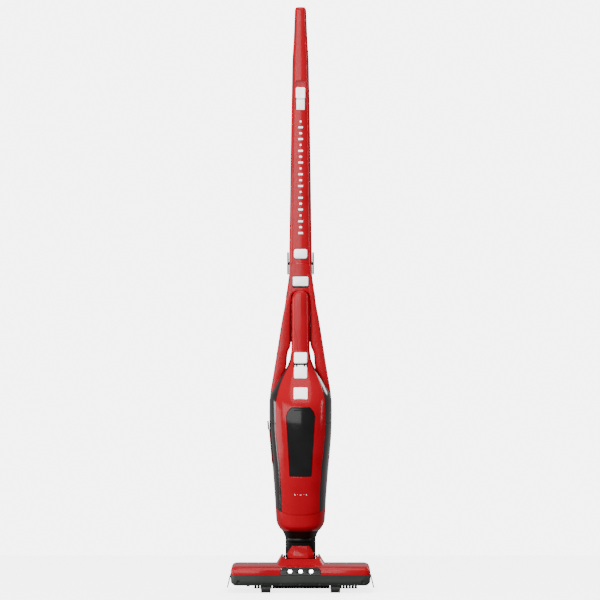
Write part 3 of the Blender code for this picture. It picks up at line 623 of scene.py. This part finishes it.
# %% [markdown]
# ## The frame
# The frame is one red moulding: a yoke that carries the hinge, two legs that part round the hand
# unit, a web behind its grip, and a cup that the hand unit stands in. Each is a closed body, and
# they are joined before the pocket, the channel and the button's hole are cut.

# %% Frame bodies
LEGS = (
    (152.0, 48.0, 42.0, 4.0, 29.0),
    (172.0, 49.3, 43.8, 4.0, 30.0),
    (225.0, 53.2, 45.2, 4.0, 30.0),
    (271.0, 57.4, 46.0, 4.0, 30.0),
    (306.0, 59.8, 46.0, 4.0, 30.0),
    (342.0, 60.4, 46.0, 4.0, 30.0),
    (374.0, 58.7, 44.5, 4.0, 30.0),
    (409.0, 53.0, 35.0, 4.0, 30.0),
    (426.0, 50.2, 27.5, 4.0, 30.0),
    (452.0, 46.1, 25.2, 4.0, 30.0),
    (471.0, 43.1, 18.7, 4.0, 30.0),
    (513.0, 36.5, 18.7, 3.6, 30.0),
    (547.0, 30.2, 18.0, 2.6, 30.0),
    (574.0, 26.4, 10.0, 2.2, 29.6),
    (604.0, 22.2, 4.0, 3.0, 28.8),
)
CUP_POWERS = (2.3, 4.0)
RIM = 163.4
RIM_SLOPE = 0.31


def frame_leg(side):
    """One leg: a rounded outer face, and a flat inner one that meets the hand unit."""
    def place(u, row):
        z, outer, inner, front, back = row
        turn = 2 * math.pi * u
        half, deep = (outer - inner) / 2, (back - front) / 2
        x = math.copysign(abs(math.cos(turn)) ** 0.5, math.cos(turn)) * half
        y = math.copysign(abs(math.sin(turn)) ** 0.5, math.sin(turn)) * deep
        return side * (inner + half + x), front + deep + y, z
    return sheet("leg", 40, eased(LEGS, 3), place, closed=True)


cradle = oval_tube("frame_moulding", (
    (560.0, 29.0, 2.6, 16.0, 30.0, 0.0),
    (574.0, 26.4, 1.2, 16.0, 30.0, 0.0),
    (590.0, 24.0, 1.2, 16.0, 29.4, 0.0),
    (603.0, 22.4, 2.0, 16.0, 29.0, 0.0),
    (625.7, 22.2, 2.0, 16.0, 28.8, 0.0),
), (3.0, 4.0), 4, 72)
for side in (-1, 1):
    carve(cradle, frame_leg(side), "UNION")
carve(cradle, slab("web", (-24, 25.4, 474), (24, 29.5, 590), 1.2), "UNION")
cup = oval_tube("cup", (
    (113.3, 36.0, -38.0, 0.0, 36.0, 0.0),
    (117.0, 39.6, -43.5, 0.0, 36.0, 0.04),
    (122.0, 42.5, -48.0, 0.0, 36.0, 0.1),
    (133.0, 46.6, -54.0, 0.0, 35.0, 0.17),
    (RIM - 0.4, 48.5, -56.0, 0.0, 33.0, RIM_SLOPE),
), CUP_POWERS, 5, 96)
carve(cradle, cup, "UNION")
print("frame bodies joined", len(cradle.data.polygons))

# %% Pocket, channel and holes
EXIT_SLOPE = math.tan(math.radians(20))


def wedge(name, rings):
    """A closed cutter through rings of as many points, from the first to the last."""
    count = len(rings[0])

    def place(u, row):
        return row[0][round(u * count) % count]
    return sheet(name, count, [(ring,) for ring in rings], place, closed=True)


pocket = []
for y in (25.4, -40):
    top = 574.6 - EXIT_SLOPE * y
    pocket.append([(-18.4, y, 430), (-18.4, y, top - 12)] + [
        (18.4 * math.sin(math.radians(a)), y, top - 12 + 12 * math.cos(math.radians(a)))
        for a in range(-75, 90, 15)
    ] + [(18.4, y, 430)])
carve(cradle, wedge("grip_pocket", pocket))
channel = []
for y in (15.5, -62):
    low = 147.2 - EXIT_SLOPE * (y + 52)
    channel.append([(-20.6, y, low), (20.6, y, low), (20.6, y, 260), (-20.6, y, 260)])
carve(cradle, wedge("duct_channel", channel))
carve(cradle, peg("air_bore", (0, 8, 90), (0, 8, 140), 13.2))
carve(cradle, pad("button_pocket", (-15.6, -10, 578.4), (15.6, 16, 600.7), 2.6, 0))
carve(cradle, slab("latch_slot", (-8.6, 8, 616), (8.6, 18, 640)))
smooth(cradle, 32)
place_piece(cradle, "frame", "gloss_red", "frame_cradle")

release = pad("release_button_cap", (-14.8, -0.2, 582), (14.8, 5.5, 600), 2.2, 1.3)
smooth(release, 40)
place_piece(release, "release_button", "satin_silver", "release_button")
# A black block at the low end of the release button's pocket: painted shade, a dark sheet put where the
# pocket only lies in shadow.
pocket_shade_block = slab("release_pocket_painted_shade", (-15.2, 5.5, 578.6), (15.2, 12, 581.4))
place_piece(pocket_shade_block, "frame", "black_plastic")
print("frame", len(cradle.data.polygons))

# %% [markdown]
# The fold hinge has a black ear on each side, a long oval plate with a rounded rim.
# The collar under the cup is black as well, and grows from the round neck to the cup's oval.

# %% Hinge ears and collar
EAR_INNER, EAR_OUTER = 22.7, 26.0
EAR_CORNER = 13.6
for name, side in (("left", -1), ("right", 1)):
    low, high = sorted((side * EAR_INNER, side * EAR_OUTER))
    ear = slab("hinge_ear_plate_" + name, (low, 16.2, 604.2), (high, 43.8, 647.8))
    round_outline(ear, 0, EAR_CORNER, 12)
    round_edges(ear, 1.4, 4, 40)
    smooth(ear, 40)
    place_piece(ear, "frame", "black_plastic", "hinge_ear_" + name)

collar = oval_tube("collar_moulding", (
    (98.2, 28.8, -20.8, 8.0, 35.2, 0.0),
    (99.0, 29.5, -21.5, 6.0, 36.0, 0.0),
    (106.0, 32.0, -29.0, 3.0, 36.0, 0.0),
    (113.0, 35.6, -37.5, 0.0, 36.0, 0.0),
), (2.2, 2.4), 5, 80)
carve(collar, peg("collar_bore", (0, 8, 90), (0, 8, 120), 13.2))
smooth(collar, 35)
place_piece(collar, "frame", "black_plastic", "swivel_collar")
print("ears and collar ready")

# %% [markdown]
# ## The hand unit
# Its red front runs from the cup's rim to the top of the grip in one piece. On each side a smoke
# strip closes the gap between the front and the narrow rear tray. The front and the strips lie
# on the same sections, so they are sheets over different spans of one arch, thickened inwards.

# %% Sections of the hand unit
PARTING_OF_GRIP = 8.0
# z, half width, half width of the red front, front y, parting y, slope
FRONT = (
    (RIM, 48.5, 36.0, -56.0, 0.0, RIM_SLOPE),
    (190.0, 50.0, 37.0, -61.0, 0.0, 0.0),
    (225.0, 52.0, 39.0, -65.0, 0.0, 0.0),
    (271.0, 56.0, 44.0, -67.5, 0.0, 0.0),
    (306.0, 59.0, 47.0, -68.0, 0.0, 0.0),
    (320.0, 59.6, 47.0, -67.8, 0.0, 0.0),
    (342.0, 60.0, 47.0, -66.0, 0.0, 0.0),
    (360.0, 60.0, 46.5, -61.0, 0.0, 0.0),
    (372.0, 58.0, 45.0, -55.0, 0.0, 0.0),
    (385.0, 51.5, 41.5, -46.0, 0.0, 0.0),
    (400.0, 43.0, 36.5, -34.0, 0.0, 0.0),
    (418.0, 31.5, 28.0, -22.0, 0.5, 0.0),
    (428.0, 25.5, 22.5, -17.0, 1.2, 0.0),
    (440.0, 20.5, 18.8, -12.0, 4.5, 0.0),
    (457.4, 17.9, 17.2, -8.0, 8.0, 0.0),
)
GRIP = (
    (459.0, 17.8, 17.8, -8.0, PARTING_OF_GRIP, 0.0),
    (545.0, 17.5, 17.5, -8.0, PARTING_OF_GRIP, 0.0),
    (556.0, 17.3, 17.3, -8.0, PARTING_OF_GRIP, -0.1),
    (566.0, 15.6, 15.6, -7.0, PARTING_OF_GRIP, -0.3),
    (571.0, 12.0, 12.0, -5.0, PARTING_OF_GRIP, -EXIT_SLOPE),
    (573.0, 7.0, 7.0, -1.5, PARTING_OF_GRIP, -EXIT_SLOPE),
    (573.3, 0.6, 0.6, 7.0, PARTING_OF_GRIP, -EXIT_SLOPE),
)


def on_front(row, angle):
    """A point of the front's arch at an angle from the right-hand parting line."""
    z, half, _red, front, parting, slope = row
    x, deep = bow(angle, half, parting - GAP / 2 - front, FRONT_POWER)
    y = parting - GAP / 2 - deep
    return x, y, z + slope * y


def facing(obj, way):
    """Turns a sheet's normals so that they look this way."""
    total = sum((face.normal * face.area for face in obj.data.polygons), Vector())
    if total.dot(Vector(way)) < 0:
        edit(obj, lambda: bpy.ops.mesh.flip_normals())


def prism(name, outline, front, back):
    """A closed block with this outline of x and z, between two depths."""
    return wedge(name, [[(x, y, z) for x, z in outline] for y in (front, back)])


WINDOW = ((18.5, 220.0), (20.6, 222.5), (23.2, 271.0), (27.2, 333.0), (24.5, 342.5),
          (19.0, 349.5), (15.5, 351.0))


def window_outline(grow):
    """The window's outline, grown by a margin."""
    middle = 285.0
    right = [(x + grow, z + math.copysign(grow, z - middle)) for x, z in WINDOW]
    return right + [(-x, z) for x, z in right[::-1]]


def front_place(u, row):
    """The red front lies between the two side strips."""
    begin = angle_at(row[2], row[1], FRONT_POWER)
    return on_front(row, begin + (math.pi - 2 * begin) * u)


SWITCH = (0.0, -18.0, 430.0)
SWITCH_LEAN = 22.0
RELEASE = (0.0, -51.5, 377.0)
RELEASE_LEAN = 32.0


def leaning_pad(name, centre, slope, half, rise, depth, corner, edge):
    """A pad on the sloping front: half its width, its span up the slope and its span outwards."""
    low = (-half, centre[1] - depth[1], centre[2] + rise[0])
    high = (half, centre[1] - depth[0], centre[2] + rise[1])
    obj = pad(name, low, high, corner, edge)
    lean(obj, centre, slope)
    return obj


front_rows = eased(FRONT + GRIP, 5)
hand_front = sheet("hand_front_skin", 64, front_rows, front_place)
facing(hand_front, (0, -1, 0))
thicken(hand_front, 2.4)
carve(hand_front, prism("window_hole", window_outline(0.5), -90, -20))
carve(hand_front, leaning_pad("switch_hole", SWITCH, SWITCH_LEAN, 13.0, (-27.4, 27.4), (-10, 10), 3.6, 0))
carve(hand_front, leaning_pad("release_hole", RELEASE, RELEASE_LEAN,
                              13.5, (-13.4, 13.4), (-15, 15), 2.6, 0))
round_edges(hand_front, 0.35, 2, 50)
smooth(hand_front, 35)
place_piece(hand_front, "hand_unit", "gloss_red", "hand_front_shell")
print("hand unit front", len(hand_front.data.polygons))

# %% [markdown]
# The strips part at a seam near the middle. The upper ones carry a field of small vent holes
# where the body narrows towards the grip.

# %% Side strips
strip_rows = eased(FRONT, 5)
SEAM = 320.0


def side_strip(name, side, rows):
    """A smoke strip between the red front and the rear tray."""
    def place(u, row):
        stop = angle_at(row[2] + 0.5, row[1], FRONT_POWER)
        x, y, z = on_front(row, stop * u)
        return side * x, y, z
    obj = sheet(name, 14, rows, place)
    facing(obj, (side, -0.3, 0))
    thicken(obj, 2.3)
    return obj


def vent_holes(side):
    """Holes in four columns over the slanting stretch of a strip."""
    holes = []
    for z in range(374, 424, 4):
        row = between(FRONT, z)
        stop = angle_at(row[2] + 0.5, row[1], FRONT_POWER)
        for share in (0.2, 0.4, 0.6, 0.8):
            x, y, height = on_front(row, stop * share)
            out = Vector((side * 0.8, -0.35, 0.5)).normalized() * 5
            middle = Vector((side * x, y, height + (share - 0.5) * 3))
            holes.append(peg("vent_hole", middle - out, middle + out, 0.85, sides=10))
    start()
    for hole in holes:
        hole.select_set(True)
    bpy.context.view_layer.objects.active = holes[0]
    bpy.ops.object.join()
    return holes[0]


for name, side in (("left", -1), ("right", 1)):
    lower = side_strip("side_strip_lower_" + name, side, [row for row in strip_rows if row[0] <= SEAM])
    round_edges(lower, 0.3, 2, 50)
    smooth(lower, 40)
    place_piece(lower, "hand_unit", "smoke_gloss", "side_trim_" + name)
    upper = [row for row in strip_rows if row[0] >= SEAM]
    upper[0] = (SEAM + 0.5, *upper[0][1:])
    strip = side_strip("side_strip_upper_" + name, side, upper)
    carve(strip, vent_holes(side))
    smooth(strip, 40)
    place_piece(strip, "hand_unit", "smoke_gloss", "side_vent_" + name)
print("side strips ready")

# %% [markdown]
# ## Dust cup
# The cup fills the window in the red front. Its face follows the front, a little deeper, and a
# small lip near its top is for the thumb.

# %% Dust cup
def cup_place(u, row):
    """The cup's face lies just inside the front's arch."""
    z, half, _red, front, parting, slope = row
    turn = 2 * math.pi * u
    half, deepest = half - 1.2, -front - 0.6
    if math.sin(turn) >= 0:
        x, deep = bow(turn, half, deepest, FRONT_POWER)
        return x, -deep, z
    x, deep = bow(turn, half, 60.0, FRONT_POWER)
    return x, deep, z


cup_rows = [row for row in eased(FRONT, 5) if 205 < row[0] < 372]
dust_cup = prism("dust_cup_shell", window_outline(0.0), -75, -22)
carve(dust_cup, sheet("cup_face", 96, cup_rows, cup_place, closed=True), "INTERSECT")
carve(dust_cup, prism("cup_room", window_outline(-2.2), -59, -10))
round_edges(dust_cup, 0.6, 3, 40)
smooth(dust_cup, 35)
place_piece(dust_cup, "dust_cup", "smoke_clear", "dust_cup")

lip_y = between(FRONT, 346)[3] + 0.6
lip = pad("dust_cup_lip", (-12.5, lip_y - 0.7, 345.0), (12.5, lip_y + 2.0, 347.0), 0.9, 0.4)
smooth(lip, 40)
place_piece(lip, "dust_cup", "smoke_clear")
print("dust cup", len(dust_cup.data.polygons))

# %% [markdown]
# ## Switch and release button
# The switch lies in a long black track on the slope: a slider above and a fixed plate below,
# with a thin tongue between them that is notched twice. The release button is a square pad
# whose lower edge is scooped for the thumb.

# %% Controls of the hand unit
track = leaning_pad("switch_track", SWITCH, SWITCH_LEAN, 12.5, (-26.7, 26.7), (-6.6, -3.6), 3.2, 0.4)
smooth(track, 40)
place_piece(track, "hand_unit", "black_plastic", "hand_switch_track")

plate = leaning_pad("switch_plate", SWITCH, SWITCH_LEAN, 12.5, (-26.6, -2.6), (-3.2, 0.6), 2.8, 1.0)
smooth(plate, 40)
place_piece(plate, "hand_unit", "satin_silver", "hand_switch_plate")

tongue = leaning_pad("switch_tongue", SWITCH, SWITCH_LEAN, 11.0, (-4.0, 1.6), (-3.6, -3.3), 0.4, 0)
for x in (-7.4, 7.4):
    notch = slab("notch", (x - 1.7, -22, 427.4), (x + 1.7, -8, 434))
    lean(notch, SWITCH, SWITCH_LEAN)
    carve(tongue, notch)
place_piece(tongue, "hand_unit", "satin_silver")

knob = leaning_pad("switch_slider", SWITCH, SWITCH_LEAN, 12.5, (4.6, 26.6), (-3.1, 0.9), 2.8, 1.1)
for rise in (10.5, 15.6, 20.7):
    groove = slab("groove", (-8, -20, 430 + rise - 0.35), (8, -18.55, 430 + rise + 0.35))
    lean(groove, SWITCH, SWITCH_LEAN)
    carve(knob, groove)
smooth(knob, 40)
place_piece(knob, "hand_power_slider", "satin_silver", "hand_power_slider")

release_pad = leaning_pad("cup_release_pad", RELEASE, RELEASE_LEAN,
                          13.0, (-12.8, 12.8), (-3.8, 1.2), 2.4, 0)
SCOOP = 60.0
scoop = peg("scoop", (0, -70, 364.2 + 1.5 - SCOOP), (0, -30, 364.2 + 1.5 - SCOOP), SCOOP, sides=180)
lean(scoop, RELEASE, RELEASE_LEAN)
carve(release_pad, scoop)
round_edges(release_pad, 1.0, 3, 40)
smooth(release_pad, 40)
place_piece(release_pad, "bin_release_button", "satin_silver", "bin_release_button")

dots = []
mark_row = between(FRONT, 186)
for index in range(5):
    x = (index - 2) * 5.0
    y = on_front(mark_row, angle_at(abs(x), mark_row[1], FRONT_POWER))[1]
    high = (1.6, 1.0)[index % 2]
    dots.append(print_mark("front_mark", (x - 1.5, y - 0.1, 186 - high), (x + 1.5, y + 0.9, 186 + high)))
start()
for dot in dots:
    dot.select_set(True)
bpy.context.view_layer.objects.active = dots[0]
bpy.ops.object.join()
front_marks = dots[0]
front_marks.name = "front_marks"
place_piece(front_marks, "hand_unit", "satin_silver")
front_marks.data.materials.clear()
front_marks.data.materials.append(white_mark)
print("controls ready")

# %% [markdown]
# ## Parts that keep their packed outline
# The floor head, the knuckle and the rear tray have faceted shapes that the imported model
# already holds. Each is copied, its doubled corners are merged, and its sharp edges are rounded
# so that they catch the light. Details are then added or cut.

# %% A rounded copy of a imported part
def rounded_copy(node, name, width, segments=2, angle=25):
    """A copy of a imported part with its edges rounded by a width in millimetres."""
    source = frame["nodes"][node]
    start()
    source.select_set(True)
    bpy.context.view_layer.objects.active = source
    bpy.ops.object.duplicate()
    obj = bpy.context.object
    place = obj.matrix_world.copy()
    obj.parent = None
    obj.matrix_world = place
    take(name)
    edit(
        obj,
        lambda: bpy.ops.mesh.remove_doubles(threshold=0.00002),
        lambda: bpy.ops.mesh.dissolve_limited(angle_limit=math.radians(1)),
        lambda: bpy.ops.mesh.normals_make_consistent(inside=False),
    )
    round_edges(obj, width, segments, angle)
    smooth(obj, angle)
    return obj


head_cover = rounded_copy("head_top_cover", "head_cover_skin", 0.9, 3)
place_piece(head_cover, "floor_head", "gloss_red", "head_top_cover")
neck_wedge = rounded_copy("neck_cover", "neck_wedge_skin", 0.7, 3)
place_piece(neck_wedge, "neck", "gloss_red", "neck_cover")
knuckle = rounded_copy("neck_yoke", "neck_knuckle", 0.6, 2, 40)
place_piece(knuckle, "neck", "black_plastic", "neck_yoke")
rear_tray = rounded_copy("hand_back_shell", "hand_rear_tray", 0.5, 2, 40)
place_piece(rear_tray, "hand_unit", "smoke_gloss", "hand_back_shell")
window = rounded_copy("led_window", "lamp_window", 0.4)
place_piece(window, "floor_head", "smoke_clear", "led_window")
print("copies", len(head_cover.data.polygons), len(rear_tray.data.polygons))

# %% [markdown]
# The head's tray has five notches along its front edge, each with a small rib in it, and a dark
# square hole near each end. The sole below it keeps its packed outline.

# %% Head tray and sole
HEAD_FRONT = -80.0
tray = rounded_copy("head_base", "head_tray", 0.7, 2, 30)
for x in (-73.5, -37, 0, 37, 73.5):
    carve(tray, slab("notch", (x - 6.5, HEAD_FRONT - 3, 10), (x + 6.5, HEAD_FRONT + 2.2, 18.6), 1.2))
    carve(tray, slab("rib", (x - 2.2, HEAD_FRONT + 0.9, 15), (x + 2.2, HEAD_FRONT + 3.4, 20), 0.6), "UNION")
for x in (-118, 118):
    carve(tray, slab("end_hole", (x - 3, HEAD_FRONT - 3, 17.5), (x + 3, HEAD_FRONT + 5, 24.5), 0.5))
smooth(tray, 30)
place_piece(tray, "floor_head", "grey_plastic", "head_base")

sole = rounded_copy("sole_plate", "ribbed_sole", 0.5)
smooth(sole, 30)
place_piece(sole, "floor_head", "grey_plastic", "sole_plate")
print("tray", len(tray.data.polygons))

# %% [markdown]
# ## Lamps, rollers and wheels
# Three small lamps stand on the board behind the dark window: a shallow dome on a stem. The
# front rollers are ribbed sleeves, and the rear wheels have a tread and a hub.

# %% Lamps
lamps = []
for x in (-20, 0, 20):
    start()
    bpy.ops.mesh.primitive_uv_sphere_add(
        segments=24, ring_count=12, radius=2.7 * MM,
        location=(x * MM, -79.0 * MM, 41.5 * MM), rotation=(math.radians(90), 0, 0),
    )
    lamps.append(take("lamp"))
    edit(lamps[-1], lambda: bpy.ops.transform.resize(
        value=(1, 0.35, 1), center_override=(x * MM, -79.0 * MM, 41.5 * MM)))
    lamps.append(peg("lamp_stem", (x, -79, 41.5), (x, -70.5, 41.5), 2.5, sides=24))
lamps.append(slab("lamp_board", (-30, -71.5, 36.5), (30, -70, 45.8), 0.3))
lamp_row = joined("lamp_row", lamps[::-1])
smooth(lamp_row, 40)
place_piece(lamp_row, "floor_head", "led_lens", "led_board")

# The dark window has a black hood over the lamps and a grey sill below them. The hood's black is partly
# painted shade: it stands in for the shadow in the recess under the red cover.
hood_and_shade = wedge("lamp_hood_painted_shade", [
    [(-35.6, -78.9, 44.4), (35.6, -78.9, 44.4), (35.6, -76.0, 44.4), (-35.6, -76.0, 44.4)],
    [(-33.8, -78.2, 47.6), (33.8, -78.2, 47.6), (33.8, -73.0, 47.6), (-33.8, -73.0, 47.6)],
])
place_piece(hood_and_shade, "floor_head", "black_plastic")
sill = wedge("lamp_sill", [
    [(-37.8, -79.95, 34.7), (37.8, -79.95, 34.7), (37.8, -78.0, 34.7), (-37.8, -78.0, 34.7)],
    [(-37.6, -79.45, 38.4), (37.6, -79.45, 38.4), (37.6, -78.0, 38.4), (-37.6, -78.0, 38.4)],
])
place_piece(sill, "floor_head", "grey_plastic")

# %% Rollers and wheels
def turned_ring(name, centre, profile, steps=48):
    """A body turned about an axle that runs across. The profile is (across, radius) points."""
    def place(u, row):
        across, radius = row
        turn = 2 * math.pi * u
        x, y, z = centre
        return x + across, y + radius * math.cos(turn), z + radius * math.sin(turn)
    return sheet(name, steps, profile, place, closed=True)


for name, side in (("left", -1), ("right", 1)):
    profile = [(-9.5, 2.0), (-9.1, 2.0), (-9.0, 7.2), (-8.2, 8.0)]
    for step in range(5):
        across = -5.6 + step * 2.8
        profile += [(across - 0.7, 8.0), (across - 0.4, 7.4), (across + 0.4, 7.4), (across + 0.7, 8.0)]
    profile += [(8.2, 8.0), (9.0, 7.2), (9.1, 2.0), (9.5, 2.0)]
    roller = turned_ring("roller_sleeve_" + name, (side * 66.0, -68.0, 8.0), profile)
    smooth(roller, 30)
    place_piece(roller, "front_roller_" + name, "grey_plastic", "front_roller_" + name)

    profile = [(-8.0, 3.5), (-8.0, 6.5), (-7.0, 7.5), (-7.0, 13.4),
               (-8.0, 14.5), (-7.6, 16.0), (-6.0, 17.7)]
    for step in range(4):
        across = -4.2 + step * 2.8
        profile += [(across - 0.9, 18.0), (across - 0.5, 17.2), (across + 0.5, 17.2), (across + 0.9, 18.0)]
    profile += [(6.0, 17.7), (7.6, 16.0), (8.0, 14.5), (7.0, 13.4), (7.0, 7.5), (8.0, 6.5), (8.0, 3.5)]
    wheel = turned_ring("wheel_tyre_" + name, (side * 52.0, 62.0, 18.0), profile)
    carve(wheel, peg("wheel_bore", (side * 52 - 12, 62, 18), (side * 52 + 12, 62, 18), 3.4))
    smooth(wheel, 30)
    place_piece(wheel, "rear_wheel_" + name, "black_rubber", "rear_wheel_" + name)
print("rollers and wheels ready")

# %% [markdown]
# ## Bristles
# The brush roll carries six rows of tufts, each row in a narrow zigzag. A tuft is a short bundle
# of nylon that spreads towards its tip. The strips at the ends of the head are rows of fine
# whiskers that lean out and down from under the red cover, and end above the floor.

# %% Brush roll
BRUSH_Y, BRUSH_Z = -38.0, 23.5


core = turned_ring("brush_core", (0.0, BRUSH_Y, BRUSH_Z), [
    (-117.0, 4.0), (-112.2, 4.0), (-112.0, 12.0), (-91.5, 12.5), (-91.0, 13.0), (111.6, 13.0),
    (112.0, 12.4), (112.2, 4.0), (117.0, 4.0),
])
tufts = [core]
for row in range(6):
    for step in range(34):
        x = -86 + step * 5.8
        angle = math.radians(60 * row + 18 + 12 * (step % 2))
        way = Vector((0, math.cos(angle), math.sin(angle)))
        root = Vector((x, BRUSH_Y, BRUSH_Z)) + way * 12
        tufts.append(peg("tuft", root, root + way * 6.4, 1.9, 2.8, 7))
brush = joined("brush_roll_tufts", tufts)
smooth(brush, 40)
place_piece(brush, "brush_roll", "bristle", "brush_roll")
print("brush", len(brush.data.polygons))

# %% Whiskers at the ends
for name, side in (("left", -1), ("right", 1)):
    hairs = [slab("whisker_root", (min(side * 133.2, side * 135), -68, 27.5),
                  (max(side * 133.2, side * 135), -22, 31), 0.4)]
    for step in range(40):
        y = -67.2 + step * 1.14
        sway = 0.8 * math.sin(step * 2.4)
        reach = 138.8 + 0.3 * math.sin(step * 1.7)
        hairs.append(peg("hair", (side * 134.1, y, 29), (side * reach, y + sway, 9.8), 1.1, 0.8, 5))
    whiskers = joined("end_whiskers_" + name, hairs)
    smooth(whiskers, 40)
    place_piece(whiskers, "floor_head", "bristle", "side_bristle_" + name)
print("whiskers ready")

# %% [markdown]
# ## Small parts
# The charging cover, the filter, the axle and the rest keep their packed outline with rounded
# edges, and the brush latch does too.

# %% Small parts
SMALL = (
    ("charge_cover", "hand_unit", 0.6),
    ("filter_frame", "dust_cup", 0.3),
    ("filter_cartridge", "dust_cup", 0.5),
    ("inlet_duct", "hand_unit", 0.5),
    ("battery_pack", "hand_unit", 1.0),
    ("brush_latch", "brush_latch", 0.5),
    ("contact_block", "frame", 0.5),
    ("brush_motor", "floor_head", 0.6),
    ("motor_pulley", "motor_pulley", 0.3),
    ("release_latch", "release_button", 0.4),
    ("fold_latch", "handle", 0.3),
    ("fan_motor", "hand_unit", 0.6),
    ("rear_axle", "floor_head", 0.4),
)
for node, body, width in SMALL:
    small = rounded_copy(node, node + "_rounded", width)
    place_piece(small, body, SLOTS[node], node)
print("small parts", len(SMALL))

# %% [markdown]
# ## Room, light and camera
# The floor and the world are pale. A broad soft panel stands at the left front and ends on the
# camera's line, so each rounded front is light on its left half and deep on its right half. A
# narrow strip on the right draws the thin line beside the right edges.

# %% Floor and world
FLOOR_GLOW = 3.6
SEEN_WORLD = 6.0
WORLD_GLOW = 0.4


def floor_finish():
    """A pale floor that glows a little, as a lit studio sweep does."""
    made, tree, shader, place = new_finish("pale studio floor", Roughness=0.7)
    broad = grain(tree, place, 300)
    tree.links.new(drift(tree, broad, "fbfbfb", "f6f6f6"), shader.inputs["Base Color"])
    tree.links.new(drift(tree, broad, "ffffff", "fcfcfc"), shader.inputs["Emission Color"])
    shader.inputs["Emission Strength"].default_value = FLOOR_GLOW
    return made


start()
bpy.ops.mesh.primitive_plane_add(size=1, location=(0, -0.3, -0.0005))
floor = bpy.context.object
floor.name = "studio_floor"
edit(floor, lambda: bpy.ops.transform.resize(value=(4.0, 1.9, 1.0)))
floor.data.materials.append(floor_finish())
floor.visible_diffuse = False
floor.visible_glossy = False

world = bpy.data.worlds.new("pale world")
bpy.context.scene.world = world
world.use_nodes = True
world.node_tree.nodes.clear()
seen = add(world.node_tree, "ShaderNodeBackground", None, {"Color": tone("ffffff"), "Strength": SEEN_WORLD})
glow = add(world.node_tree, "ShaderNodeBackground", None, {"Color": tone("f8f9fb"), "Strength": WORLD_GLOW})
direct = add(world.node_tree, "ShaderNodeLightPath").outputs["Is Camera Ray"]
both = add(world.node_tree, "ShaderNodeMixShader", {0: direct, 1: glow.outputs[0], 2: seen.outputs[0]})
add(world.node_tree, "ShaderNodeOutputWorld", {"Surface": both.outputs[0]})
print("floor and world ready")

# %% Lights
def panel(name, place, target, width, height, power):
    """A soft rectangular light that the camera doesn't see."""
    start()
    way = Vector(target) - Vector(place)
    bpy.ops.object.light_add(type="AREA", location=place, rotation=way.to_track_quat("-Z", "Y").to_euler())
    lamp = bpy.context.object
    lamp.name = name
    lamp.data.shape = "RECTANGLE"
    lamp.data.size = width
    lamp.data.size_y = height
    lamp.data.energy = power
    lamp.visible_camera = False
    return lamp


panel("front_left_panel", (-2.25, -3.75, 1.6), (0.0, -0.25, 1.6), 5.6, 2.3, 490)
panel("left_side_panel", (-3.4, 0.3, 0.35), (0.0, 0.0, 0.35), 2.6, 1.3, 90)
panel("right_strip", (4.2, -0.6, 1.35), (0.0, 0.0, 1.35), 0.5, 2.0, 60)
panel("back_fill", (2.6, 3.4, 3.0), (0.0, 0.0, 0.5), 2.4, 2.0, 170)
panel("top_fill", (0.0, -1.6, 3.2), (0.0, 0.0, 0.6), 2.5, 2.5, 150)
print("lights ready")

# %% Camera
start()
CAMERA_PLACE = (-0.0011, -5.0, 0.56)
bpy.ops.object.camera_add(location=CAMERA_PLACE, rotation=(math.radians(90), 0, 0))
camera = bpy.context.object
camera.name = "front_camera"
camera.data.lens = 156.06
camera.data.sensor_width = 36
camera.data.shift_y = -0.0042
camera.data.dof.use_dof = False
bpy.context.scene.camera = camera
print("camera ready")
